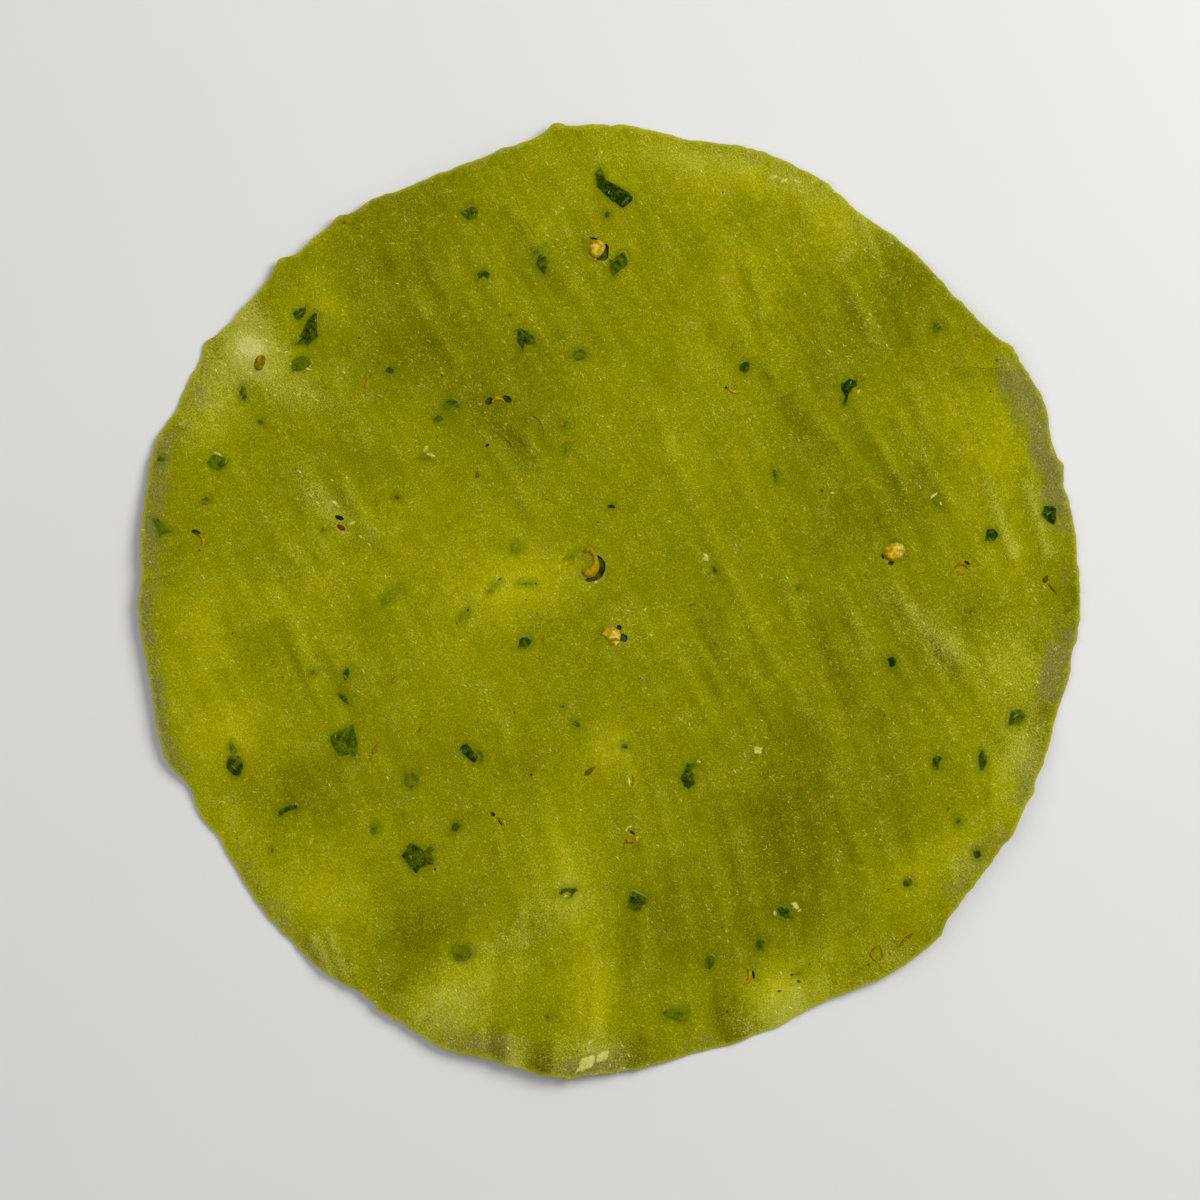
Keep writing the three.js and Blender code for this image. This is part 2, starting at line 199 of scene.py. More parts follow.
# Greyish bands along the rim: from and to in degrees, width, strength
RIM_BANDS = [
    (9, 30, 4.2, 0.9), (22, 31, 5.8, 0.7), (346, 357, 4.8, 0.72), (333, 341, 4, 0.5),
    (158, 177, 3.8, 0.64), (178, 187, 2.6, 0.8), (187, 202, 2.2, 0.9), (241, 246, 2.4, 0.6),
    (247, 259, 4.6, 0.5),
    (263, 272, 4, 0.8), (212, 234, 3, 0.4), (318, 331, 4.4, 0.34), (100, 128, 0.9, 0.5),
    (62, 82, 2, 0.35), (146, 157, 4, 0.35), (272, 284, 2, 0.3), (30, 60, 0.7, 0.4),
]
# Pointed corners of the rim: degrees, how far they stand out, half their width in degrees
RIM_EARS = [
    (96.8, 0.8, 1.6), (125.2, 0.7, 1.5), (134.2, 0.8, 1.5), (147.7, 0.8, 1.5), (32, 0.7, 1.6),
    (16.5, 0.7, 1.3), (335.7, 0.7, 1.5), (314.6, 0.35, 1.8), (238.5, 0.5, 0.9), (240.6, 0.5, 0.9),
    (265.4, 0.4, 1.2),
]
BAND_FADE = 6  # degrees over which a band fades at its ends
EDGE_WIDTH = 0.7  # width of the bright cut edge
BAND_EDGE = 2.6  # width of a band's soft inner edge

# Larger flakes of chilli: x, y, tint from dark to bright, veil of dough, the side in degrees on
# which the flake slips under the dough, and the outline round that point, counter-clockwise
DRAWN_FLAKES = [
    (0.6, 72.2, 0.14, 0.0, 120, [
        (-3, 1.5), (-2.8, 0.2), (-1.2, -1.3), (1, -3.3), (1.8, -3.6), (3.5, -2.2), (3.6, -1.3),
        (1.4, 0.2), (-1, 1.5), (-1.5, 2.7), (-1.9, 3.8), (-3.2, 2.6)]),
    (-33.7, -45.2, 0.3, 0.06, 20, [
        (-1.9, -0.8), (-0.8, -2.1), (0, -2.7), (0.6, -1.6), (1.8, -1.2), (2.9, -1), (3, -0.1),
        (2.6, 1), (3.2, 1.6), (2.8, 2.2), (2, 2.2), (1.3, 1.5), (0.1, 2.3), (-1.2, 2.7),
        (-2, 1.6), (-3, 0.6)]),
    (-52.6, 47.5, 0.26, 0.05, 230, [
        (1, 3), (0.5, 2.7), (-0.2, 1.5), (-1.1, -0.2), (-1.8, -1.6), (-2.7, -2.8), (-0.7, -2.7),
        (-0.2, -3.1), (0.8, -2.1), (1.7, -1.2), (1.4, 0.2), (1.6, 1.2), (1.7, 2.7)]),
    (-52.6, 47.5, 0.34, -0.1, 90, [
        (-2.4, 1.8), (-1.5, 1.1), (-0.3, 2.6), (-0.2, 3.9), (-2, 3.4), (-2.8, 2.7)]),
    (-46.6, -24.2, 0.58, -0.05, 90, [
        (-2.2, -0.5), (-1.5, -2), (-0.8, -3.5), (1, -2.9), (2.4, -3.5), (2.5, -0.5), (2.2, 1),
        (1.8, 2.7), (-0.4, 1.8), (-2.3, 0.6)]),
    (-65.5, -28.4, 0.5, 0.25, 90, [
        (-1.1, 2.5), (-0.8, 1.3), (0.4, 1.3), (0.5, 2.2), (-0.2, 3.3), (-0.7, 4), (-1.1, 3.6)]),
    (-65.5, -28.4, 0.2, 0.1, 60, [
        (-1.6, -0.9), (-1.1, -1.6), (-0.5, -2.4), (0.7, -2.5), (1.1, -1.6), (1.6, -0.5), (1.3, 0.3),
        (1.2, 1.1), (0.3, 1.4), (-0.5, 1.7), (-1.2, 1.1), (-1.5, 0.2)]),
    (41.9, 36.7, 0.02, 0.05, 280, [
        (-1.4, 0.3), (-0.8, -0.9), (-1.2, -2), (-1, -2.8), (-0.2, -2.5), (0, -0.9), (0.7, 0.4),
        (1.4, 0.8), (1.3, 1.8), (0.1, 2.4), (-1.4, 1.2)]),
    (13.7, -30.4, 0.16, 0.12, 0, [
        (-1, -1.8), (0.2, -2.6), (1.5, -1.6), (1.2, -0.4), (0.9, 0.8), (1.8, 1.5), (1.6, 2),
        (-0.2, 1.9), (-0.6, 0.7), (-1.6, -0.5)]),
    (31.2, -54, 0.25, 0.15, 45, [
        (-1.5, -1.2), (-0.2, -1.7), (1, -1.6), (1.2, -0.9), (0.1, 0.4), (-1.2, 0.6),
        (-2, -0.1)]),
    (-14.8, 45.8, 0.34, 0.1, 10, [
        (-1.6, -0.5), (-0.8, -1.8), (-0.2, -2.4), (0.1, -1), (0.9, -1.2), (2.1, -0.8),
        (2, 0.3), (0.5, 1.4), (-0.8, 1.9), (-1.5, 1.6)]),
    (4.6, -52.2, 0.4, 0.0, 250, [
        (-1.1, 0.7), (-1.4, -0.5), (-1.6, -1.4), (-0.4, -2.1), (0.9, -2.2), (1.2, -1.2),
        (1.8, -0.9), (2, 0.4), (-0.7, 1.8)]),
    (-24.1, -26.7, 0.08, 0.0, 45, [
        (-1, -0.9), (0.4, -2), (1.3, -0.6), (0.2, 0.8), (-0.8, 1.9), (-1.6, 1.5), (-2.3, 0.6)]),
    (-24.1, -26.7, 0.5, 0.45, 180, [
        (1.3, -0.6), (1.2, -1.7), (2, -1.3), (2.4, -0.2), (1.4, 0.7), (0.2, 0.8)]),
    (-56.3, -36.8, 0.25, 0.05, 250, [
        (-1.7, -0.9), (-1.4, -1.2), (0.1, -0.2), (1.8, 0.4), (1.8, 1.1), (1.3, 1.4),
        (-1.5, 0.2), (-1.8, -0.2)]),
    (-78, 12.5, 0.7, 0.12, 30, [
        (-1.9, 1.8), (-1.5, 0.9), (-1.2, 0.2), (-1, -0.7), (-0.8, -1.9), (-0.2, -2.1), (0, -1),
        (0.7, -0.8), (1.8, -0.7), (1.9, -0.3), (0.7, 0.5), (0, 1.2), (-0.9, 2.1)]),
    (-54, 41.4, 0.75, -0.2, 180, [
        (-1.4, -1.4), (0, -1.2), (1.2, -0.6), (2.2, 0), (1.7, 1), (0.2, 1.5), (-1.5, 0.7),
        (-1.8, -0.6)]),
    (11.8, -72.4, 0.85, 0.2, 0, [
        (-2.6, -0.5), (-1.2, -0.8), (0.5, -1.4), (2, -1.3), (2.1, -0.1), (2, 1.2), (-0.7, 1.1),
        (-2.3, 1), (-2.7, 0)]),
    (-25.6, -61.7, 0.55, 0.3, 180, [
        (-2, 0.3), (-1.8, -0.8), (-0.8, -1.6), (0.5, -1.4), (1.7, -0.5), (2, 0.7), (0.8, 1.5),
        (-0.8, 1.6), (-1.9, 1.2)]),
    (65.2, -27.9, 0.2, 0.05, 20, [
        (-0.8, -0.9), (-0.6, -2), (0.2, -1.6), (0.9, -0.5), (0.9, 0.8), (0.2, 1.9),
        (-0.3, 1.8), (-0.7, 0.7)]),
    (17.6, 7.4, 0.3, 0.05, 90, [
        (0.6, -2.5), (1.2, -2.8), (1.3, -2.1), (0.8, -1.2), (0.2, -0.9)]),
    (-68.7, 24.6, 0.6, 0.0, 290, [
        (-1.2, -1.3), (0.5, -2), (1.8, -0.8), (2, 0), (0.2, 1.1), (-1, 1.2), (-1.2, 0.4),
        (-1.8, -0.5)]),
    (1.5, 58.9, 0.45, 0.0, 250, [
        (-1.5, -0.8), (-0.8, -2.4), (0.6, -1), (1.6, -0.2), (1.8, 1), (1.3, 2.3), (0.5, 2.3),
        (-0.8, 0.8), (-1.5, 1)]),
    (-7.2, -51, 0.42, 0.06, 270, [
        (-1.6, -0.3), (-1, -0.7), (-0.7, -0.3), (-0.2, 0), (0.3, -0.3), (0, -0.7), (-0.4, -1),
        (0.1, -1.3), (0.8, -0.9), (1.1, -0.2), (1.7, 0.3), (1.2, 1), (0.4, 0.9), (-0.6, 0.9),
        (-1.5, 0.4)]),
    (77.1, 15.1, 0.08, 0.0, 190, [
        (1.3, -0.8), (1.4, 1.3), (-0.9, 1.6), (-1.6, -0.1), (-0.4, -1.3), (0.7, -1.9)]),
]
# Shapes of the small flakes, each drawn 2 long and 2 wide
FLAKE_CUTS = {
    "chip": [(-1, -0.3), (-0.3, -1), (0.8, -0.8), (1, 0.2), (0.4, 1), (-0.7, 0.8)],
    "wedge": [(-1, -0.6), (0.2, -1), (1, -0.2), (0.7, 0.7), (-0.2, 1), (-0.6, 0.2)],
    "notched": [(-1, 0.1), (-0.6, -0.9), (0.1, -0.4), (0.9, -1), (1, 0.3), (0.3, 1), (-0.5, 0.7)],
    "sliver": [(-1, -0.5), (-0.2, -1), (0.9, -0.6), (1, 0.4), (0.1, 1), (-0.8, 0.6)],
}
# Small flakes: x, y, length, width, turn, tint, veil, cut
SMALL_FLAKES = [
    (-34.6, -31.4, 3.4, 3, 70, 0.6, 0.46, "chip"),
    (71.1, -20.4, 4, 3.4, 20, 0.55, 0.05, "wedge"), (-11.8, 58.9, 4.2, 2.6, 80, 0.3, 0.15, "wedge"),
    (-15, -7.4, 3.3, 2.7, 20, 0.26, 0.15, "wedge"), (66.8, 11.5, 3.3, 2.8, 15, 0.12, 0.05, "wedge"),
    (-46.5, -17.1, 3.3, 1.3, -45, 0.35, 0.1, "sliver"),
    (-24.4, 67.8, 3.6, 3.1, -30, 0.45, 0.18, "wedge"), (57.3, -28.4, 3.2, 2.2, 70, 0.22, 0.1, "notched"),
    (-64.1, 36.3, 3.1, 1.8, 90, 0.4, 0.32, "sliver"), (-5.2, 43, 2.9, 2.6, 0, 0.4, 0.4, "chip"),
    (17.6, -63.3, 3.1, 2, 70, 0.4, 0.15, "sliver"), (23.7, 40.9, 2.6, 2.2, 80, 0.25, 0.08, "chip"),
    (-27.7, 34.3, 3.2, 2.6, 15, 0.35, 0.36, "notched"), (-22.1, 57, 2.5, 2.1, 0, 0.2, 0.05, "notched"),
    (64.1, -44.2, 2.3, 1.9, 50, 0.15, 0.2, "wedge"), (49.4, -10.8, 2.5, 2.1, 40, 0, 0, "wedge"),
    (52.1, -49.3, 2.2, 1.8, 30, 0.45, 0.15, "chip"), (-38.4, 40.3, 1.8, 1.6, 0, 0.2, 0.1, "chip"),
    (-30, 31.8, 2.2, 1.4, 20, 0.3, 0.1, "sliver"), (-78.5, 24.8, 2, 1.7, 0, 0.3, 0.2, "wedge"),
    (0.4, 16.5, 1.7, 1.2, 0, 0.15, 0.05, "sliver"), (57.2, 47.8, 2.3, 2.2, 20, 0.4, 0.35, "wedge"),
    (29.1, 22, 2.9, 1.2, -80, 0.4, 0.25, "sliver"), (26.5, -60.3, 2.6, 2.2, 70, 0.3, 0.2, "notched"),
    (2.7, -25.5, 1.5, 1.2, 0, 0.3, 0.2, "chip"), (-5.7, -21.6, 1.9, 1.3, -50, 0.4, 0.1, "sliver"),
    (-46.1, -12.9, 2.7, 1.6, 60, 0.25, 0.0, "wedge"), (-41.2, -40, 2.5, 1.8, 60, 0.5, 0.52, "sliver"),
    (-26.9, -39.6, 2.6, 1.7, 40, 0.35, 0.1, "sliver"), (-25.6, -2.8, 3, 1.2, 50, 1.0, 0.75, "sliver"),
    (-20.2, 2.4, 3.6, 1.3, 42, 0.6, 0.9, "sliver"), (-14.6, 3.1, 3.6, 1.2, 0, 0.6, 0.92, "sliver"),
    (-0.4, 67.6, 1.6, 1.3, 40, 0.35, 0.0, "wedge"),
    (-37.2, 18.1, 1.3, 1, 0, 0.3, 0.2, "chip"), (-51.9, -12.5, 1.6, 1.2, 20, 0.5, 0.45, "chip"),
    (-59.1, -43.8, 1.1, 0.8, 70, 0.3, 0.25, "sliver"), (-10.8, -72.7, 1.1, 0.8, 0, 0.5, 0.3, "chip"),
    (61, -38.4, 1.7, 1.2, 40, 0.4, 0.4, "sliver"), (-8.3, -18.5, 1, 0.7, 10, 0.2, 0.1, "chip"),
    (-50.2, 12.4, 1.1, 0.8, 60, 0.4, 0.3, "wedge"), (33.2, 2.2, 1.1, 0.7, 40, 0.4, 0.3, "sliver"),
    (-16.4, 9.2, 2.4, 2, 30, 0.6, 0.74, "chip"), (-6.6, 7.7, 1.6, 1.2, 0, 0.6, 0.72, "wedge"),
    (33, -65.2, 1.4, 1, 20, 0.6, 0.5, "chip"), (-7.7, 30.7, 1.9, 0.7, 55, 0.7, 0.5, "sliver"),
    (-7.6, 26.3, 2.2, 0.8, 75, 0.7, 0.45, "sliver"), (27.8, 39.2, 1.6, 0.5, -60, 0.5, 0.45, "sliver"),
    (-12.4, 61.3, 2.4, 1.2, 30, 0.6, 0.42, "sliver"),
    (-61.1, 31.3, 1.3, 1.1, 0, 0.3, 0.2, "chip"), (-70.5, 17.5, 2.2, 1.8, 30, 0.5, 0.6, "chip"),
    (63.3, -1.9, 1.2, 0.7, 40, 0.5, 0.1, "sliver"), (57.2, 17.5, 2.4, 1.9, 60, 1.1, 0.7, "wedge"),
    (-32.2, 25.1, 2.6, 1.2, 0, 0.6, 0.75, "sliver"), (-38.3, 0.9, 5.2, 2, 38, 0.6, 0.92, "sliver"),
]
# Scattered crumbs of chilli between the flakes
CRUMB_DRAW = 7
CRUMB_REACH = 78
CRUMB_LENGTH = (0.35, 0.95)
CRUMB_WIDTH = (0.5, 0.9)  # for its length
CRUMB_TINT = 0.4
CRUMB_VEIL = (0, 0.5)
# A small flake slips under the dough on a side that follows from its turn and its length
SIDE_BY_TURN = 7
SIDE_BY_LENGTH = 40

# Chilli seeds that lie open: x, y, tint, depth of the dish in its middle, lean, the side in
# degrees on which it slips under the dough, and the outline
OPEN_SEEDS = [
    (-3.6, 6.6, 0.3, 0.0, 0.04, 180, [
        (-1.1, 2), (-0.8, 1.5), (-0.1, 1.7), (0.3, 1.4), (0.6, 1), (0.7, 0.3), (0.5, -0.2),
        (0, -0.6), (-0.8, -0.9), (-1.3, -1.2), (-1.4, -1.8), (-1, -2.4), (0, -2.7), (1, -2.4),
        (1.6, -1.6), (1.9, -0.6), (1.7, 0.3), (1.5, 1), (1.2, 1.8), (0.7, 2.4), (-0.1, 2.7),
        (-0.8, 2.5)]),
    (0.1, -6.2, 1.0, 0.0, 0.06, 160, [
        (-1.7, 0.7), (-1.5, 0.1), (-0.8, -0.5), (-0.1, -0.9), (0.9, -0.7), (1.7, -0.8), (1.9, 0),
        (1.6, 1), (0.5, 1.5), (-1, 1.4)]),
    (0.1, -6.2, 1.2, 0.0, 0.0, 180, [
        (-0.1, -1.4), (0.4, -1.7), (1, -1.8), (1.5, -1.4), (1.7, -0.9), (0.9, -0.8), (0.3, -1)]),
    (49.8, 8.5, 0.9, 0.04, 0.03, 225, [
        (-2, -0.4), (-1.4, -1.4), (-0.4, -1.7), (0.8, -1.3), (1.6, -0.7), (2, 0.3),
        (1.6, 1.3), (0.6, 1.7), (-0.5, 1.5), (-1.5, 0.8)]),
    (-2.3, 61.5, 0.75, 0.08, 0.16, 180, [
        (-1.8, 0.2), (-1.4, -1.1), (-0.4, -1.7), (0.5, -1.4), (1.2, -0.6), (1.6, 0.3), (1.5, 1),
        (0.6, 1.7), (-0.6, 1.7), (-1.6, 1.2)]),
    (-61.2, 41.9, -0.2, 0.1, 0.1, 90, [
        (-1.1, -0.7), (-0.6, -1.7), (0.3, -1.5), (1, -0.3), (1.1, 0.9), (0.4, 1.6), (-0.6, 1.3)]),
    (3.3, -41.8, 0.2, 0.0, 0.05, 180, [
        (-0.7, 0.1), (-0.4, -0.7), (0.3, -0.8), (0.5, -0.2), (0, 0.5)]),
    (4.5, -41.8, 1.1, 0.0, 0.0, 180, [(-0.4, -0.6), (0.5, -0.4), (0.6, 0.5), (0.1, 0.6)]),
    (30.9, 14.1, 0.1, 0.0, 0.0, 90, [
        (-0.5, -0.2), (0, -0.5), (0.5, -0.1), (0.3, 0.4), (-0.3, 0.4)]),
    (61.5, 4.9, 0.3, 0.0, 0.05, 270, [
        (-1.2, 0.2), (-0.7, -0.8), (0.4, -0.9), (1.1, -0.3), (1, 0.6), (0, 0.9), (-0.9, 0.8)]),
    (-46.1, 66.2, 0.2, 0.0, 0.0, 0, [
        (-0.6, -0.3), (0.2, -0.6), (0.6, 0.1), (0.2, 0.6), (-0.4, 0.4)]),
]
# Where dough covers part of an open seed: x, y, length, width, turn, depth
SEED_DENTS = [
    (-1.4, -7.3, 1.6, 1.2, -30, 0.3), (-4.2, 61.6, 1.9, 3, 0, 0.28),
    (-61.4, 43.2, 2, 1.2, 0, 0.3), (61.5, 4.9, 3.4, 2.8, 0, 0.34),
]
# Rims of seeds that lie buried: from x, y to x, y, rise to the left of that line, thickness,
# tint
SEED_BOWS = [
    (63.2, 4.9, 60.1, 4.9, -1.6, 0.7, 0.6), (-20.6, 34.7, -18.4, 34.9, 0.7, 0.95, 0.8),
    (-72.5, 11.7, -71.6, 8.7, 1.1, 0.62, 0.8), (20.6, 37.3, 23.2, 36.7, -0.45, 0.6, 0.8),
    (24, -64.2, 23.5, -67.3, 0.9, 0.8, 0.8), (-19.6, -38, -18.2, -39.6, 0.35, 0.7, 0.9),
    (46.9, -60.3, 46.8, -63.2, -1.1, 0.55, -0.1), (47, -60.3, 47.2, -63, 0.6, 0.4, 0.0),
    (50.7, -60.4, 53.2, -58.1, 0.25, 0.65, -0.05),
    (13.8, -1.9, 15.6, -0.9, 0.8, 0.3, 1.0), (3.95, -30.5, 3.6, -32.9, 0.5, 0.45, 0.7),
    (-26.6, 49.6, -25.8, 51, 0.2, 0.4, 0.3),
]
# Dark gaps in the dough beside the seeds: x, y, length, width, turn
GAPS = [
    (1.7, -4.7, 0.95, 0.9, 0), (47.9, 7.8, 0.7, 1, 0),
    (49.3, 6.6, 1.1, 0.9, 20), (62.6, 6.6, 1.2, 0.6, -30), (-21.1, 34.9, 1.7, 1.25, 35),
    (-17.9, 35.3, 1.9, 1.15, -30), (-72.3, 12, 1.7, 0.8, -15), (-71.6, 8.8, 0.5, 0.45, 0),
    (20.4, 37.3, 0.6, 0.45, 30), (25.2, -65.5, 0.45, 1.6, 8), (-20.4, -37.4, 1, 0.65, -40),
    (-2.8, 63.4, 1.5, 0.4, -8), (-19.1, -39, 1.4, 0.25, -55),
]
DRAWN_GAPS = [  # wider gaps: x, y, and the outline
    (0.1, -6.2, [
        (1.8, 0.2), (1.8, -0.9), (2.7, -1.1), (3.1, -0.6), (3, 0.1), (2.6, 0.2), (2.3, 0.5)]),
    (-3.6, 6.6, [
        (-0.7, -3), (-0.1, -3.4), (1.2, -3.2), (2.3, -2.5), (2.9, -1.2), (2.9, -0.1), (2.3, 0.9),
        (1.5, 1.4), (1.4, 0.4), (1.6, -0.6), (1.3, -1.5), (0.8, -2.1), (-0.2, -2.5)]),
    (-2.3, 61.5, [
        (0.6, -0.7), (0, -1.3), (0.1, -1.9), (1.4, -2), (2.1, -1.5), (2.2, 0.4), (1.9, 1),
        (1.2, 0.8)]),
]
GAP_DEPTH = 0.42
CUTTER_TOP = 4  # height to which the cutters of the gaps reach
LARGE_SEED = 7  # a seed whose outline has more corners stains the dough
STAIN_REACH = 1.1  # how far the chilli stains the dough around it
LIP_REACH = 0.7  # width of the greyish lip round a gap or seed

# Shapes of the husks, the specks and the dry crumbs, each drawn 2 long and 2 wide
SPINDLE = [
    (-1, 0.1), (-0.8, -0.6), (-0.3, -1), (0.2, -0.8), (0.6, -0.3), (1, -0.1), (0.9, 0.2),
    (0.4, 0.6), (-0.2, 1), (-0.7, 0.8),
]
SPECK = [(-1, -0.2), (-0.5, -0.9), (0.4, -1), (1, -0.3), (0.8, 0.6), (0.1, 1), (-0.7, 0.7)]
RAGGED = [
    (-1, -0.1), (-0.8, -0.6), (-0.35, -0.75), (0, -1), (0.5, -0.85), (0.75, -0.4), (1, 0),
    (0.75, 0.5), (0.3, 0.7), (0, 1), (-0.5, 0.8), (-0.75, 0.3),
]
# Cumin and other small husks: x, y, length, width, turn, tint
CUMIN_SEEDS = [
    (-3.4, -29.8, 2.6, 1, 38, 0.1), (-37.4, -13.7, 2.4, 0.9, 45, 0.6),
    (-40.9, -25.8, 2.9, 0.8, 62, 0.45), (76.4, 3.8, 1.7, 1.1, 60, 0.0), (77.6, 2, 2.6, 0.4, -50, 0.05),
    (-23.1, 22.1, 1.4, 0.8, 80, 0.15), (-17.2, 50.1, 1.1, 0.7, 20, 0.4), (-16.5, -19.5, 0.8, 0.5, 50, 0.5),
    (49.2, -61.4, 1, 0.9, 0, 0.9), (45.3, -63.6, 0.7, 0.5, 60, 0.2), (59.2, -36.4, 0.9, 0.35, 70, 0.15),
    (-25.2, -26.2, 0.6, 0.45, 0, 0.25), (30.6, -54.4, 0.5, 0.4, 0, 0.2), (2.2, 59.4, 0.5, 0.35, 0, 0.1),
    (-33.1, -22.4, 1.6, 0.5, 70, 0.45), (5.5, -76.7, 0.7, 0.5, 40, 0.2), (32, -65.5, 0.7, 0.5, 0, 0.0),
    (33.2, -66.7, 0.9, 0.5, -30, 0.1), (29.8, -68.4, 0.8, 0.45, 0, 0.0), (35.1, -63.6, 0.5, 0.45, 0, 0.15),
    (-19.1, 3.8, 0.8, 0.4, 30, 0.1), (-42.4, 38, 2.4, 0.8, 75, 0.7),
    (-25.9, 35.6, 1.3, 0.35, 60, 1.3), (67.8, 42, 0.8, 0.5, 20, 0.35), (21.8, 44.8, 1.9, 0.45, 65, 0.6),
]
# Pepper specks that stand out: x, y, length, width, turn, redness
PEPPER_SPECKS = [
    (-47.3, 14.5, 2, 1, -20, 0.0), (-47, 12.8, 2.1, 1.1, -30, 0.9), (37.2, 19.2, 0.6, 0.6, 0, 0.1),
    (-8.5, -6.9, 0.4, 0.4, 0, 0.0), (-2, 13.7, 0.45, 0.45, 0, 0.0), (-13.7, -30.5, 0.65, 0.55, 0, 0.2),
    (20.6, -72, 0.5, 0.45, 0, 0.0), (-30.5, -47, 0.55, 0.5, 0, 0.1), (-43.8, 45.9, 0.5, 0.4, 0, 0.0),
    (-29.3, 39.4, 0.4, 0.4, 0, 0.0), (-27.7, 40.6, 0.35, 0.3, 0, 0.0), (31.8, -28.2, 0.5, 0.4, 0, 0.2),
    (-24.8, -1.7, 0.8, 0.5, 60, 0.0), (-26.7, -4, 0.5, 0.35, 40, 0.1), (-12.9, 3, 0.6, 0.4, 0, 0.1),
    (-21.4, 27.2, 0.9, 0.7, 30, 0.0), (3.9, -42.4, 0.6, 0.5, 0, 0.6), (4, -40.6, 1.6, 0.6, -35, 0.35),
]
# Scattered pepper between them
SPECK_DRAW = 21
SPECK_REACH = 79
SPECK_LENGTH = (0.18, 0.42)
SPECK_WIDTH = (0.6, 1)  # for its length
RED_POWER = 3  # the higher, the fewer specks are red
# Pale crumbs of dry dough, some of them narrow slivers that stand in as painted glints of light: x, y,
# length, width, turn
DRY_CRUMBS = [
    (26, -26.2, 2.2, 1.8, 20), (28.6, 74.1, 2.2, 0.9, 10), (30.6, 73.6, 2.2, 1.2, 30),
    (32.6, 73.4, 1.8, 0.8, -20), (-4, -80.7, 4.5, 2.7, 39), (-1.3, -79.6, 3.5, 2.1, 40),
    (-5.4, -81.9, 2, 1, 40), (-60.2, 43.5, 0.6, 0.5, 0), (56.8, 18.4, 1.8, 0.6, 40),
    (57.8, 17.3, 1.7, 0.45, -60), (32.5, -53.4, 2.3, 1.5, -40), (33.2, -54.2, 1, 0.8, 20),
    (-32.2, 26.6, 1.6, 0.9, 60), (-31.3, 25.5, 1.8, 0.8, -20),
    (28.9, -54.6, 1.1, 1.9, 0), (16.8, 7.6, 1.4, 2.2, 20), (-48, 16.9, 2.3, 0.9, -40),
    (-45, 13.6, 1.3, 0.6, 30), (-43.6, 11.2, 0.9, 0.4, -40), (-9.6, 1.2, 0.4, 0.4, 0),
    (-68.5, 25.6, 2.2, 0.6, -30), (43.6, 36.6, 0.9, 0.5, 60), (15.6, -28.2, 0.8, 0.6, 0),
    (6.2, -1.6, 0.7, 0.5, 70), (-2.4, 3.2, 0.7, 0.6, 0), (39, 18.8, 0.9, 0.5, 0),
    (-58.6, 36, 0.8, 0.35, 0), (-54.4, 36.1, 0.8, 0.35, 20), (-52, 35.7, 1, 0.4, -35),
    (-51.3, 35.1, 0.8, 0.3, -30), (-58, 43.7, 0.9, 0.4, 0), (-56.6, 43.5, 0.7, 0.35, 30),
    (-63.8, 49.2, 0.7, 0.5, 60), (-53, 41.3, 1.8, 0.45, -30), (-52.9, 40.6, 1.5, 0.4, -20),
    (-48.6, 21.1, 0.7, 0.3, -40), (-54.2, 22.5, 0.7, 0.3, -40), (3.4, -31.7, 2.2, 0.55, 100),
    (3.5, -39.6, 1.2, 0.5, 20), (3, -40.1, 0.9, 0.4, 75), (-7.7, -51.7, 0.9, 0.35, 20),
    (-8.3, -51.4, 0.7, 0.4, 60), (-3.3, -77.1, 1.6, 0.6, 40),
]
WIDE_CRUMB = 1.1  # a narrower crumb is paler
CRUMB_PALING = 1.1  # by that much for each millimetre

# Patterns of the dough: their sizes, and the degrees along which they lie
CLOUD_SIZE = 8
PATCH_SIZE = 2.6
WARMTH_SIZE = 1.5
STREAK_SIZE = 2.8
GRAIN_SIZE = 0.19
GRAIN_STRETCH = 1.7
GRAIN_TURNS = (-48, 40)
FIBRE_SIZE = 0.4
FIBRE_TURNS = (-40, -78, 12)
GLINT_SIZE = 0.46
GLINT_TURNS = (-25, -62)
STROKE_STRETCH = 4  # a fibre's or a glint's length for its width

# The sheet
MERGE = 0.001  # points of the solid that lie nearer together are one
LOOKS_DOWN = -0.5  # a face whose normal rises more isn't part of the underside
LUMP_SIZE = 9
RIPPLE_SIZE = 3.4
FRAY_DEPTH = 1.2  # how far inwards the ragged rim dies out
FRAY_LEAST = 0.02  # a smaller share of it isn't drawn
FRAY_WAVES = ((2.1, 1), (0.9, 0.6))  # size and strength
EDGE_BEVEL = 0.12
EDGE_ANGLE = 60
SMOOTH_ANGLE = 38  # edges that turn more stay sharp

# The bits on it: width of their small faces, and how deep they sink in
SLAB = 0.6  # thickness of a slab before its top is shaped
FLAKE_CELL = 0.15
SMALL_FLAKE_CELL = 0.16
CRUMB_CELL = 0.5
SEED_CELL = 0.11
BOW_CELL = 0.08
HUSK_CELL = 0.16
SPECK_CELL = 0.35
DRY_CELL = 0.14
CREASE_CELL = 0.1
FLAKE_SINK = 0.35
SEED_SINK = 0.45
SPECK_SINK = 0.2
FLAKE_SPREAD = 1.05  # a flake's outline is that much wider than what shows of it
SLIP = 0.45  # how much dough covers the side on which a flake slips under
SEED_LIP = 0.05  # how far a seed stands up on its outline
SEED_EDGE = 0.45  # how far inwards it reaches its height
DISH_RIM = 0.4  # where the dish in its middle starts
DISH_SLOPE = 0.6
SEED_ROUGHNESS = (0.06, 0.6)  # height and size
BOW_ROUGHNESS = (0.03, 0.5)
BOW_STEPS = 9
BOW_TIP = 0.35  # a bow's thickness at its ends, for that of its middle

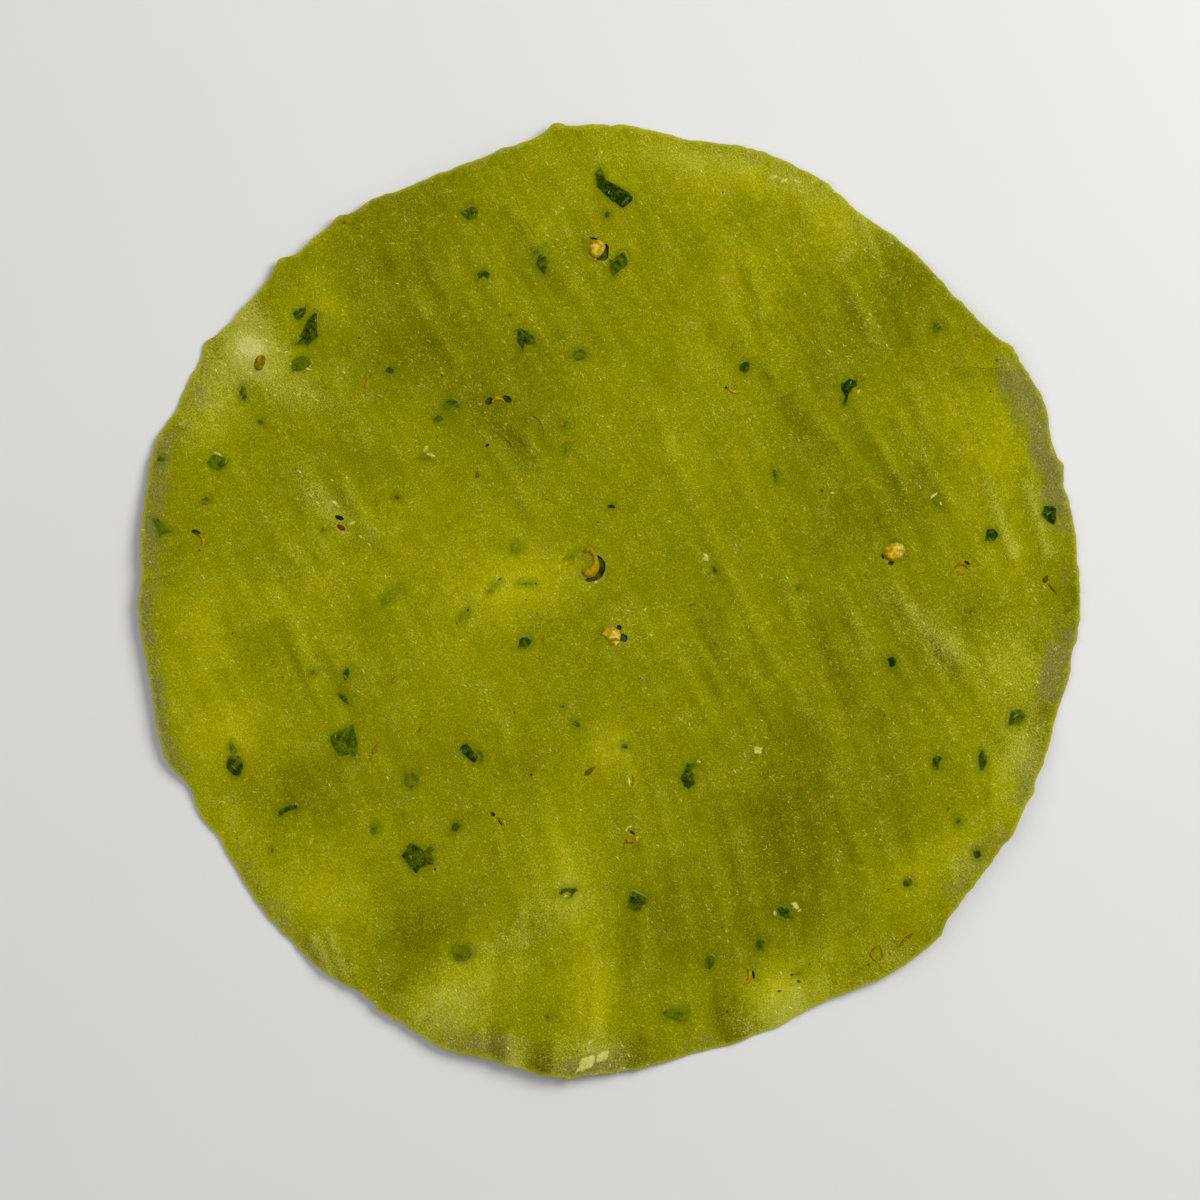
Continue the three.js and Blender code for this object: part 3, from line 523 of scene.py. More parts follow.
# The stage: lights as name, place in metres, size and setting
FLOOR_SIZE = 4
FLOOR_DROP = 0.02
LIGHTS = [
    ("key_light", (0.52, 0.34, 0.6), 0.45, "key_power"),
    ("fill_light", (-0.6, 0.1, 0.75), 0.8, "fill_power"),
]
CAMERA_PLACE = (-1.66, 0.09)
SHEET_LEVEL = 1.3  # height at which the picture's width is measured
SENSOR_WIDTH = 36
CLIP_START = 0.01


def srgb(red, green, blue):
    """The linear colour, with full opacity, of an 8-bit sRGB one."""
    shares = [channel / 255 for channel in (red, green, blue)]
    linear = [s / 12.92 if s <= 0.04045 else ((s + 0.055) / 1.055) ** 2.4 for s in shares]
    return (*linear, 1.0)


def colour_property(name, description, default):
    """A colour that a user can change."""
    return FloatVectorProperty(
        name=name, description=description, subtype="COLOR", size=4, min=0, max=1, default=default
    )


def length_property(name, description, millimetres):
    """A length that a user can change."""
    return FloatProperty(
        name=name, description=description, subtype="DISTANCE", unit="LENGTH",
        min=0, precision=5, default=millimetres * MM,
    )


class PapadumDough(bpy.types.PropertyGroup):
    """The sheet of dried dough."""

    thickness: length_property("Thickness", "Thickness of the sheet", 0.55)
    ripple_height: length_property("Ripples", "Height of the drying ripples", 0.13)
    lump_height: length_property("Lumps", "Height of the soft lumps", 0.1)
    ragged: length_property("Ragged rim", "How far the rim strays from its line", 0.28)
    shade_colour: colour_property("Shade", "The darkest grains of the dough", srgb(66, 68, 0))
    thick_colour: colour_property("Thick", "Dough where the sheet is thick", srgb(100, 100, 0))
    dough_colour: colour_property("Dough", "Dough of middling thickness", srgb(133, 133, 0))
    thin_colour: colour_property("Thin", "Dough where the sheet is thin", srgb(166, 164, 5))
    bright_colour: colour_property("Bright", "The brightest grains of the dough", srgb(200, 197, 38))
    warm_colour: colour_property("Warm", "Warmer patches of the dough", srgb(156, 130, 0))
    flour_colour: colour_property("Flour", "Dough that is dusted with flour", srgb(175, 174, 62))
    rim_colour: colour_property("Rim", "Greyish dough along the rim", srgb(102, 98, 58))
    fibre_colour: colour_property("Fibres", "Pale fibres in the dough", srgb(194, 190, 56))
    # painted highlights: glints of light on grains of flour; also the palest flour of clumps and crumbs
    glint_and_flour_colour: colour_property("Glints", "Bright grains of flour", srgb(226, 222, 140))
    stain_colour: colour_property("Stain", "Dough stained by the chilli", srgb(82, 98, 0))
    lip_colour: colour_property("Lip", "Greyish lip of dough round a gap", srgb(138, 140, 64))
    # painted shade: the gaps' walls are painted this dark, as shade deep in a recess
    gap_shade_colour: colour_property("Gap", "Dark gaps beside the seeds", srgb(28, 30, 2))


class PapadumChilli(bpy.types.PropertyGroup):
    """The flakes of green chilli."""

    proud: length_property("Proud", "How far a flake stands above the sheet", 0.14)
    dark_colour: colour_property("Dark", "Skin of the darkest flakes", srgb(16, 38, 0))
    bright_colour: colour_property("Bright", "Skin of the brightest flakes", srgb(95, 108, 3))
    vein_colour: colour_property("Veins", "Pale cracks and veins", srgb(146, 152, 50))
    crumbs: IntProperty(name="Crumbs", description="Scattered small crumbs", min=0, default=70)


class PapadumSeeds(bpy.types.PropertyGroup):
    """The chilli seeds, cumin and pepper."""

    proud: length_property("Proud", "How far a chilli seed stands above the sheet", 0.38)
    flesh_colour: colour_property("Flesh", "Pale middle of a chilli seed", srgb(178, 149, 3))
    # cream is also the painted highlight, and brown the painted shade, across a seed
    cream_and_highlight_colour: colour_property("Cream", "Palest spots of a chilli seed", srgb(230, 208, 88))
    husk_colour: colour_property("Husk", "Orange rim of a chilli seed", srgb(156, 123, 0))
    brown_and_shade_colour: colour_property("Brown seed", "The darkest chilli seeds", srgb(112, 92, 0))
    cumin_dark: colour_property("Dark cumin", "The darkest cumin", srgb(88, 64, 3))
    cumin_pale: colour_property("Pale cumin", "The palest cumin", srgb(172, 148, 20))
    pepper_colour: colour_property("Pepper", "Black pepper", srgb(22, 18, 16))
    red_colour: colour_property("Red", "Red-brown specks", srgb(112, 44, 18))
    specks: IntProperty(name="Specks", description="Scattered pepper specks", min=0, default=110)


class PapadumStage(bpy.types.PropertyGroup):
    """The table, the light and the camera."""

    floor_colour: colour_property("Table", "The pale table", (0.72, 0.71, 0.69, 1.0))
    key_power: FloatProperty(name="Key", description="Light from the right", unit="POWER", default=6.6)
    fill_power: FloatProperty(name="Fill", description="Light from the left", unit="POWER", default=2.2)
    sky: FloatProperty(name="Sky", description="Even light from all round", min=0, default=0.28)
    lens: FloatProperty(name="Lens", description="Focal length in millimetres", min=10, default=85)
    frame_width: length_property("Frame", "Width of the picture at the sheet", 210)


class Value:
    """A shader socket that takes part in sums. Each sum adds a Math node."""

    def __init__(self, finish, socket):
        self.finish = finish
        self.socket = socket

    def combine(self, operation, first, second):
        """What a Math node makes of two values."""
        return self.finish.node("ShaderNodeMath", {"operation": operation}, {0: first, 1: second})

    def __add__(self, other):
        return self.combine("ADD", self, other)

    def __radd__(self, other):
        return self.combine("ADD", other, self)

    def __sub__(self, other):
        return self.combine("SUBTRACT", self, other)

    def __rsub__(self, other):
        return self.combine("SUBTRACT", other, self)

    def __mul__(self, other):
        return self.combine("MULTIPLY", self, other)

    def __rmul__(self, other):
        return self.combine("MULTIPLY", other, self)


class Finish:
    """A material, and the nodes that give it its look."""

    def __init__(self, name, specular):
        self.material = bpy.data.materials.new(name)
        self.material.use_nodes = True
        self.tree = self.material.node_tree
        self.shader = self.tree.nodes["Principled BSDF"]
        self.shader.inputs["Specular IOR Level"].default_value = specular

    def feed(self, socket, value):
        """Links a value to a socket, or sets a plain number or colour on it."""
        if isinstance(value, Value):
            self.tree.links.new(value.socket, socket)
        else:
            socket.default_value = value

    def node(self, kind, settings, inputs, output=0):
        """A node of one kind: its settings are set first, then its inputs are set or linked."""
        node = self.tree.nodes.new(kind)
        for key, value in settings.items():
            if key == "stops":
                for spare in list(node.color_ramp.elements)[1:]:
                    node.color_ramp.elements.remove(spare)
                for index, (place, colour) in enumerate(value):
                    stop = node.color_ramp.elements[0] if index == 0 else node.color_ramp.elements.new(place)
                    stop.position = place
                    stop.color = colour
            else:
                setattr(node, key, value)
        for key, value in inputs.items():
            self.feed(node.inputs[key], value)
        return Value(self, node.outputs[output])

    def place(self):
        """The point's place on the object, in millimetres."""
        point = self.node("ShaderNodeTexCoord", {}, {}, "Object")
        return self.node("ShaderNodeVectorMath", {"operation": "SCALE"}, {"Vector": point, "Scale": 1 / MM})

    def along(self, place, turn, stretch):
        """Places drawn together along one direction, so that a pattern on them is drawn out along it."""
        inputs = {"Vector": place, "Rotation": (0, 0, math.radians(turn)), "Scale": (stretch, 1, 1)}
        return self.node("ShaderNodeMapping", {"vector_type": "TEXTURE"}, inputs)

    def combed(self, place):
        """Places on which the slanting streaks of the dough run straight along y."""
        x = self.node("ShaderNodeSeparateXYZ", {}, {0: place}, "X")
        y = self.node("ShaderNodeSeparateXYZ", {}, {0: place}, "Y")
        below = y.combine("MINIMUM", y - BEND_BELOW, 0)
        across = x + STREAK_SLANT * y + STREAK_BEND * below * below
        return self.node("ShaderNodeCombineXYZ", {}, {"X": across, "Y": y * (1 / STREAK_STRETCH)})

    def attribute(self, name):
        """A number that is stored on the mesh."""
        return self.node("ShaderNodeAttribute", {"attribute_name": name}, {}, "Fac")

    def noise(self, place, size, detail, roughness=0.5):
        """Cloudy noise around zero, whose clouds are about one size across."""
        inputs = {"Vector": place, "Scale": 1 / size, "Detail": detail, "Roughness": roughness}
        return self.node("ShaderNodeTexNoise", {}, inputs) - 0.5

    def cells(self, place, size):
        """Points scattered about one size apart: the distance to the nearest, and its own number."""
        inputs = {"Vector": place, "Scale": 1 / size}
        reach = self.node("ShaderNodeTexVoronoi", {}, inputs, "Distance")
        colour = Value(self, reach.socket.node.outputs["Color"])
        return reach, self.node("ShaderNodeSeparateColor", {}, {0: colour})

    def strokes(self, place, turn, size, scarcity):
        """Short bright strokes along one direction; the scarcer, the fewer of them show."""
        reach, kind = self.cells(self.along(place, turn, STROKE_STRETCH), size)
        return self.soft_step(reach, 0.26, 0.08) * self.soft_step(kind, scarcity, 1.0)

    def soft_step(self, value, low, high):
        """0 below low, 1 above high and smooth between; the other way round if low is above high."""
        inputs = {"Value": value, "From Min": low, "From Max": high}
        return self.node("ShaderNodeMapRange", {"interpolation_type": "SMOOTHSTEP"}, inputs)

    def mix(self, factor, first, second):
        """A colour between two."""
        inputs = {0: factor, 6: first, 7: second}
        return self.node("ShaderNodeMix", {"data_type": "RGBA"}, inputs, 2)

    def shade(self, value, *colours):
        """A colour read off evenly spaced ones by a value from 0 to 1."""
        last = len(colours) - 1
        stops = [(index / last, colour) for index, colour in enumerate(colours)]
        return self.node("ShaderNodeValToRGB", {"stops": stops}, {"Fac": value})

    def close(self, colour, roughness, height, depth):
        """Feeds the shader: colour, roughness, and a relief of that depth in millimetres."""
        bump = self.node("ShaderNodeBump", {}, {"Height": height, "Strength": 1.0, "Distance": depth * MM})
        self.feed(self.shader.inputs["Base Color"], colour)
        self.feed(self.shader.inputs["Roughness"], roughness)
        self.feed(self.shader.inputs["Normal"], bump)
        return self.material


def dough_look(finish, dough):
    """The dough's colour, and the grain that its relief follows."""
    place = finish.place()
    clouds = finish.noise(place, CLOUD_SIZE, 2)
    patches = finish.noise(place, PATCH_SIZE, 3)
    warmth = finish.noise(place, WARMTH_SIZE, 3)
    grain = sum(finish.noise(finish.along(place, turn, GRAIN_STRETCH), GRAIN_SIZE, 1) for turn in GRAIN_TURNS)
    streaks = finish.noise(finish.combed(place), STREAK_SIZE, 3) * finish.attribute("streaky")
    fibres = sum(finish.strokes(place, turn, FIBRE_SIZE, 0.58) for turn in FIBRE_TURNS)
    glints = sum(finish.strokes(place, turn, GLINT_SIZE, 0.84) for turn in GLINT_TURNS)
    # The thin mark also holds the folds' painted highlights and painted shade.
    body = 0.475 + 0.51 * finish.attribute("thin") + 0.2 * clouds
    body = body + 0.18 * patches + 0.3 * streaks + 0.52 * grain
    shades = (dough.shade_colour, dough.thick_colour, dough.dough_colour, dough.thin_colour)
    colour = finish.shade(body, *[tuple(shade) for shade in (*shades, dough.bright_colour)])
    colour = finish.mix(0.9 * warmth, colour, tuple(dough.warm_colour))
    colour = finish.mix(-0.8 * warmth, colour, tuple(dough.stain_colour))
    flour = finish.attribute("flour") + 0.4 * patches + 0.5 * streaks + 0.8 * grain
    clump = 0.7 * finish.soft_step(flour, 0.95, 1.6) + 0.8 * grain + 0.4 * patches
    floury = finish.mix(clump, tuple(dough.flour_colour), tuple(dough.glint_and_flour_colour))
    flour = finish.soft_step(flour, 0.05, 1.0)
    colour = finish.mix(0.75 * flour, colour, floury)
    rim = finish.soft_step(finish.attribute("rim") + 1.4 * patches, 0.05, 0.95)
    rim_colour = finish.mix(0.12 + 0.7 * grain, tuple(dough.rim_colour), tuple(dough.fibre_colour))
    colour = finish.mix(0.8 * rim, colour, rim_colour)
    fibrous = fibres * (0.62 + 0.4 * flour + 1.6 * clouds + patches)
    colour = finish.mix(fibrous, colour, tuple(dough.fibre_colour))
    # painted glints of light on grains of flour, stronger where flour lies and on the streaks
    glinting = glints * (0.4 + 1.4 * flour + 2 * streaks + 0.8 * patches)
    colour = finish.mix(glinting, colour, tuple(dough.glint_and_flour_colour))
    stain = finish.soft_step(finish.attribute("stain") + 0.5 * patches, 0.0, 1.1)
    colour = finish.mix(0.5 * stain, colour, tuple(dough.stain_colour))
    return colour, grain + 2 * streaks


def dough_material(dough):
    """The sheet: dough with greyish lips round the gaps and a bright cut edge."""
    finish = Finish("dried_dough", 0.008)
    colour, grain = dough_look(finish, dough)
    lip = finish.attribute("lip") + 2.4 * finish.noise(finish.place(), 1.3, 2)
    colour = finish.mix(0.7 * finish.soft_step(lip, 0.5, 1.2), colour, tuple(dough.lip_colour))
    colour = finish.mix(0.45 * finish.attribute("edge"), colour, tuple(dough.fibre_colour))
    return finish.close(colour, 0.56 + 0.3 * grain, grain, 0.04)


def gap_shade_material(dough):
    """The walls of the gaps, painted dark: painted shade, as it would fall deep in the recess."""
    finish = Finish("dough_gap", 0.02)
    mottle = finish.noise(finish.place(), 1.1, 3)
    # painted shade on the walls of the gaps, mottled towards the thick dough's colour
    colour = finish.mix(0.38 + 2.2 * mottle, tuple(dough.gap_shade_colour), tuple(dough.thick_colour))
    return finish.close(colour, 0.8 + 0.1 * mottle, mottle, 0.05)


def veiled(finish, dough, colour, cover):
    """A bit's own colour where it shows, and the dough's where dough covers it."""
    dough_colour, grain = dough_look(finish, dough)
    return finish.mix(finish.soft_step(cover, 0.0, 1.0), colour, dough_colour), grain


def chilli_material(dough, chilli):
    """Mottled green skin with pale veins, partly under the dough."""
    finish = Finish("green_chilli", 0.015)
    place = finish.place()
    mottle = finish.noise(place, 0.9, 4, 0.6)
    fine = finish.noise(place, 0.3, 2)
    green = finish.shade(
        finish.attribute("tint") + 2.3 * mottle + 1.3 * fine,
        tuple(chilli.dark_colour), tuple(chilli.bright_colour),
    )
    veins = finish.strokes(place, 35, 0.9, 0.5) + finish.strokes(place, -50, 0.8, 0.5)
    green = finish.mix(0.7 * veins, green, tuple(chilli.vein_colour))
    # painted glints of light on the skin, drawn as pale specks
    specks = finish.strokes(place, 70, 0.42, 0.66)
    green = finish.mix(0.72 * specks, green, tuple(dough.fibre_colour))
    inset = finish.attribute("inset")
    facing = finish.attribute("facing")
    # a pale lip of flour-coloured dough on the crisp side, partly a painted highlight along the raised edge
    lip = finish.soft_step(inset, 0.42, 0.12) * finish.soft_step(facing + 2.0 * mottle, -0.4, -0.8)
    green = finish.mix(0.5 * lip, green, tuple(dough.flour_colour))
    edge = finish.soft_step(inset + 0.4 * mottle + 0.4 * fine, 0.28, 0.0)
    edge = edge * (0.3 + 0.7 * finish.soft_step(facing, -0.6, 0.3))
    under = finish.attribute("veil") + SLIP * finish.soft_step(facing, 0.0, 1.0)
    cover = edge + under * (1.0 + 3.0 * mottle)
    colour, grain = veiled(finish, dough, green, cover)
    return finish.close(colour, 0.5 + 0.3 * mottle, mottle + 0.5 * grain, 0.07)


def seed_material(dough, seeds):
    """A pale, freckled middle and an orange husk, under dough where the seed lies low; painted shade browns
    the side on which it slips under, and painted highlight creams the other.
    """
    finish = Finish("chilli_seed", 0.02)
    place = finish.place()
    mottle = finish.noise(place, 0.7, 3, 0.6)
    fine = finish.noise(place, 0.25, 2)
    tint = finish.attribute("tint")
    facing = finish.attribute("facing")
    middle = finish.soft_step(finish.attribute("inset"), 0.3, 1.2)
    # painted shade on the side on which the seed slips under, painted highlight on the other
    flesh = finish.shade(
        tint * (0.45 - 0.45 * facing) + 0.08 + 0.22 * middle + 1.9 * mottle,
        tuple(seeds.brown_and_shade_colour), tuple(seeds.flesh_colour), tuple(seeds.cream_and_highlight_colour),
    )
    husk = finish.soft_step(finish.attribute("inset") + 0.4 * mottle, 0.75, 0.1)
    husk = husk * finish.soft_step(facing + 0.8 * mottle, 0.5, -0.5)
    husk = husk * finish.soft_step(tint, -0.3, 0.3) * (1.1 - 0.6 * tint)
    colour = finish.mix(husk, flesh, tuple(seeds.husk_colour))
    reach, kind = finish.cells(place, 0.42)
    freckles = finish.soft_step(reach, 0.34, 0.2) * finish.soft_step(kind, 0.55, 0.7)
    colour = finish.mix(0.7 * freckles, colour, tuple(seeds.brown_and_shade_colour))
    cover = finish.soft_step(finish.attribute("rise") + 0.12 * mottle + 0.1 * fine, 0.14, -0.06)
    colour, _ = veiled(finish, dough, colour, cover)
    return finish.close(colour, 0.45 + 0.2 * mottle, mottle + 0.4 * fine, 0.06)


def cumin_material(dough, seeds):
    """Brown husks, under dough where they lie low."""
    finish = Finish("cumin", 0.03)
    place = finish.place()
    mottle = finish.noise(place, 0.5, 3, 0.6)
    husk = finish.shade(
        finish.attribute("tint") + 0.8 * mottle, tuple(seeds.cumin_dark), tuple(seeds.cumin_pale)
    )
    cover = finish.soft_step(finish.attribute("rise") + 0.2 * mottle, 0.08, -0.04)
    colour, grain = veiled(finish, dough, husk, cover)
    return finish.close(colour, 0.6 + 0.2 * mottle, mottle + 0.3 * grain, 0.05)


def pepper_material(seeds):
    """Black and red-brown specks."""
    finish = Finish("pepper_speck", 0.08)
    mottle = finish.noise(finish.place(), 0.3, 2)
    colour = finish.shade(
        finish.attribute("tint") + 0.5 * mottle, tuple(seeds.pepper_colour), tuple(seeds.red_colour)
    )
    return finish.close(colour, 0.6 + 0.2 * mottle, mottle, 0.04)


def crumb_material(dough):
    """Pale dry crumbs, and creases that dough covers."""
    finish = Finish("dry_crumb", 0.02)
    place = finish.place()
    mottle = finish.noise(place, 0.5, 3, 0.6)
    pale = finish.shade(0.3 + 1.6 * mottle, tuple(dough.flour_colour), tuple(dough.glint_and_flour_colour))
    edge = finish.soft_step(finish.attribute("inset") + 0.7 * mottle, 0.45, 0.0)
    colour, grain = veiled(finish, dough, pale, edge + finish.attribute("veil"))
    return finish.close(colour, 0.6 + 0.2 * mottle, mottle + 0.4 * grain, 0.08)


def floor_material(stage):
    """The plain, pale table."""
    finish = Finish("pale_table", 0.2)
    mottle = finish.noise(finish.place(), 60, 3)
    paler = tuple(min(1.0, 1.04 * channel) for channel in stage.floor_colour)
    colour = finish.mix(0.5 + mottle, tuple(stage.floor_colour), paler)
    return finish.close(colour, 0.75 + 0.1 * mottle, mottle, 0.0)


def pick(piece):
    """Makes one object the only selected one and the active one."""
    bpy.ops.object.select_all(action="DESELECT")
    piece.select_set(True)
    bpy.context.view_layer.objects.active = piece


def apply_modifier(piece, kind, **settings):
    """Adds a modifier of one kind with these settings, and applies it."""
    pick(piece)
    modifier = piece.modifiers.new(kind.lower(), kind)
    for key, value in settings.items():
        setattr(modifier, key, value)
    bpy.ops.object.modifier_apply(modifier=modifier.name)


def points_of(piece):
    """The mesh's points, one row for each."""
    points = np.empty(3 * len(piece.data.vertices))
    piece.data.vertices.foreach_get("co", points)
    return points.reshape(-1, 3)


def set_points(piece, points):
    """Moves the mesh's points, one row for each."""
    piece.data.vertices.foreach_set("co", points.ravel())
    piece.data.update()


def set_attribute(piece, name, values):
    """Stores a number for each point of the mesh, or one for all."""
    attribute = piece.data.attributes.get(name) or piece.data.attributes.new(name, "FLOAT", "POINT")
    attribute.data.foreach_set("value", np.broadcast_to(values, len(piece.data.vertices)).astype(np.float32))


def smooth(share):
    """0 below 0, 1 above 1 and a soft step between."""
    share = np.clip(share, 0, 1)
    return share * share * (3 - 2 * share)


def soft_spots(points, rows, sharpness=1):
    """The sum of soft oval spots at each point; the sharper, the more sudden their edges."""
    total = np.zeros(len(points))
    for x, y, length, width, turn, strength in rows:
        angle = math.radians(turn)
        east = points[:, 0] - x
        north = points[:, 1] - y
        along = (east * math.cos(angle) + north * math.sin(angle)) / (0.5 * length)
        across = (north * math.cos(angle) - east * math.sin(angle)) / (0.5 * width)
        total += strength * np.exp(-((along**2 + across**2) ** sharpness))
    return total


def line_distance(points, start, end):
    """Each point's distance, seen from above, from a straight line between two places."""
    start = np.array(start)
    run = np.array(end) - start
    share = np.clip(((points[:, :2] - start) @ run) / (run @ run), 0, 1)
    return np.linalg.norm(points[:, :2] - start - share[:, None] * run, axis=1)


def fold_share(points, fold):
    """How much a fold lifts each point: 1 on its crest, 0 beside it."""
    x0, y0, x1, y1, width = fold[:5]
    return np.exp(-((line_distance(points, (x0, y0), (x1, y1)) / (0.5 * width)) ** 2))


def outline_distance(points, outline):
    """Each point's distance, seen from above, from the nearest side of an outline."""
    sides = zip(outline, outline[1:] + outline[:1])
    return np.min([line_distance(points, start, end) for start, end in sides], axis=0)


def rim_inset(points):
    """How far inside the sheet's rim each point lies."""
    sheet = points_of(bpy.data.objects[SHEET]) / MM
    degrees = np.floor(np.degrees(np.arctan2(sheet[:, 1], sheet[:, 0]))).astype(int) % 360
    reach = np.zeros(360)
    np.maximum.at(reach, degrees, np.hypot(sheet[:, 0], sheet[:, 1]))
    angle = np.degrees(np.arctan2(points[:, 1], points[:, 0])) % 360
    rim = np.interp(angle, np.arange(360) + 0.5, reach, period=360)
    return np.maximum(0, rim - np.hypot(points[:, 0], points[:, 1]))


def degrees_from(points, direction):
    """How many degrees round the middle each point lies from a direction."""
    angle = np.degrees(np.arctan2(points[:, 1], points[:, 0]))
    return np.abs((angle - direction + 180) % 360 - 180)


def rim_share(points):
    """How strongly the greyish rim band shows at each point."""
    inset = rim_inset(points)
    share = np.zeros(len(points))
    for start, end, width, strength in RIM_BANDS:
        off = degrees_from(points, 0.5 * (start + end))
        window = smooth((0.5 * (end - start + BAND_FADE) - off) / BAND_FADE)
        depth = np.clip((width - inset) / BAND_EDGE + 0.5, 0, 1)
        share = np.maximum(share, strength * window * depth)
    return share


def paint_dough(piece):
    """Stores where the dough is thin, floury or greyish, with the folds' painted highlights and painted shade
    in the thin mark, for the finishes.
    """
    points = points_of(piece) / MM
    thin = soft_spots(points, THIN_PLACES + THICK_PLACES)
    flour = soft_spots(points, FLOUR_PLACES) + soft_spots(points, FLOUR_SMEARS, SMEAR_EDGE)
    for fold in FOLDS:
        crest = fold_share(points, fold)
        # painted shade beside the fold, on the side away from the key light, and a painted highlight on its
        # crest
        shade = fold_share(points - fold[4] * np.array((*FOLD_PAINTED_SHADE, 0)), fold)
        thin += FOLD_PAINTED_LIGHT * (crest - shade)
        # pale flour on the crest, partly a painted highlight of the fold
        flour += fold[6] * crest
    set_attribute(piece, "thin", thin)
    set_attribute(piece, "flour", flour)
    set_attribute(piece, "rim", rim_share(points))
    set_attribute(piece, "streaky", STREAKS_ALL_OVER + soft_spots(points, STREAKY_PLACES))


def hand_over(piece):
    """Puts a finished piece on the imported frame."""
    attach(piece, BODY)
    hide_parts(NODE)


def wrinkle(sheet, name, size, height):
    """Lifts the sheet by cloudy wrinkles of one size."""
    texture = bpy.data.textures.new(name, "CLOUDS")
    texture.noise_scale = 1
    guide = bpy.data.objects.new(name, None)
    bpy.context.scene.collection.objects.link(guide)
    guide.scale = (size * MM, size * MM, size * MM)
    bpy.context.view_layer.update()
    apply_modifier(
        sheet, "DISPLACE", texture=texture, texture_coords="OBJECT", texture_coords_object=guide,
        direction="Z", mid_level=0, strength=height,
    )
    bpy.data.objects.remove(guide)


def fray_rim(sheet, amount):
    """Draws out the rim's ears, and moves it in and out by an unevenness that dies out inwards."""
    points = points_of(sheet)
    share = np.exp(-rim_inset(points / MM) / FRAY_DEPTH)
    ears = np.zeros(len(points))
    for direction, reach, half in RIM_EARS:
        ears += reach * MM * np.clip(1 - degrees_from(points, direction) / half, 0, 1)
    for index in np.flatnonzero(share > FRAY_LEAST):
        point = Vector(points[index])
        stray = sum(strength * noise.noise(point / (size * MM)) for size, strength in FRAY_WAVES)
        outwards = Vector((point.x, point.y, 0)).normalized()
        points[index] += np.array(outwards) * (stray * amount + ears[index]) * share[index]
    set_points(sheet, points)


def lift_ripples(sheet, height):
    """Raises the fine ripples that run along the drying streaks."""
    points = points_of(sheet)
    x, y, _ = points.T / MM
    across = x + STREAK_SLANT * y + STREAK_BEND * np.minimum(y - BEND_BELOW, 0) ** 2
    places = np.stack((across, y / STREAK_STRETCH, np.zeros(len(points))), axis=1)
    share = STREAKS_ALL_OVER + soft_spots(points / MM, STREAKY_PLACES)
    points[:, 2] += height * share * unevenness(places, RIPPLE_SIZE)
    set_points(sheet, points)


def lift_folds(sheet):
    """Raises the long drying folds."""
    points = points_of(sheet)
    for fold in FOLDS:
        points[:, 2] += fold[5] * MM * fold_share(points / MM, fold)
    set_points(sheet, points)


def rest(sheet):
    """Lays the sheet's lowest point on the table."""
    points = points_of(sheet)
    points[:, 2] -= points[:, 2].min()
    set_points(sheet, points)


def roll_sheet(dough):
    """The sheet: the solid's underside, made finer, wrinkled, and given the dough's thickness."""
    sheet = bpy.data.objects.new(SHEET, frame["nodes"][NODE].data.copy())
    sheet.data.name = SHEET
    bpy.context.scene.collection.objects.link(sheet)
    pick(sheet)
    bpy.ops.mesh.customdata_custom_splitnormals_clear()
    bpy.ops.object.mode_set(mode="EDIT")
    bpy.ops.mesh.select_mode(type="FACE")
    bpy.ops.mesh.select_all(action="SELECT")
    bpy.ops.mesh.remove_doubles(threshold=MERGE * MM)
    bpy.ops.mesh.select_all(action="DESELECT")
    bpy.ops.object.mode_set(mode="OBJECT")
    for face in sheet.data.polygons:
        face.select = face.normal.z > LOOKS_DOWN
    bpy.ops.object.mode_set(mode="EDIT")
    bpy.ops.mesh.delete(type="FACE")
    bpy.ops.object.mode_set(mode="OBJECT")
    middle = min(sheet.data.polygons, key=lambda face: face.center.length)
    middle.select = True
    bpy.ops.object.mode_set(mode="EDIT")
    bpy.ops.mesh.select_linked()
    bpy.ops.mesh.select_all(action="INVERT")
    bpy.ops.mesh.delete(type="FACE")
    bpy.ops.mesh.select_all(action="SELECT")
    bpy.ops.mesh.region_to_loop()
    bpy.ops.transform.edge_crease(value=1)
    bpy.ops.object.mode_set(mode="OBJECT")
    apply_modifier(sheet, "SUBSURF", levels=2, render_levels=2)
    wrinkle(sheet, "soft_lumps", LUMP_SIZE, dough.lump_height)
    lift_ripples(sheet, dough.ripple_height)
    lift_folds(sheet)
    fray_rim(sheet, dough.ragged)
    rest(sheet)
    apply_modifier(sheet, "SOLIDIFY", thickness=dough.thickness, offset=-1, use_rim=True)
    apply_modifier(
        sheet, "BEVEL", width=EDGE_BEVEL * MM, segments=2,
        limit_method="ANGLE", angle_limit=math.radians(EDGE_ANGLE),
    )
    return sheet


def cut_slab(outline, cell):
    """A flat slab of an outline's shape, in an even net of small faces, in millimetres."""
    bpy.ops.object.select_all(action="DESELECT")
    bpy.ops.mesh.primitive_circle_add(vertices=len(outline), radius=1, fill_type="NGON")
    slab = bpy.context.object
    for vertex, (x, y) in zip(slab.data.vertices, outline):
        vertex.co = (x, y, -0.5 * SLAB)
    bpy.ops.object.mode_set(mode="EDIT")
    bpy.ops.mesh.select_all(action="SELECT")
    bpy.ops.mesh.extrude_region_move(TRANSFORM_OT_translate={"value": (0, 0, SLAB)})
    bpy.ops.mesh.select_all(action="SELECT")
    bpy.ops.mesh.normals_make_consistent(inside=False)
    bpy.ops.object.mode_set(mode="OBJECT")
    if cell:
        apply_modifier(slab, "REMESH", mode="VOXEL", voxel_size=cell)
    return slab


def placed(outline, x, y, length=2, width=2, turn=0):
    """An outline drawn 2 long and 2 wide, stretched, turned and moved to its place."""
    cosine = math.cos(math.radians(turn))
    sine = math.sin(math.radians(turn))
    stretched = [(0.5 * length * along, 0.5 * width * across) for along, across in outline]
    return [(x + a * cosine - b * sine, y + a * sine + b * cosine) for a, b in stretched]


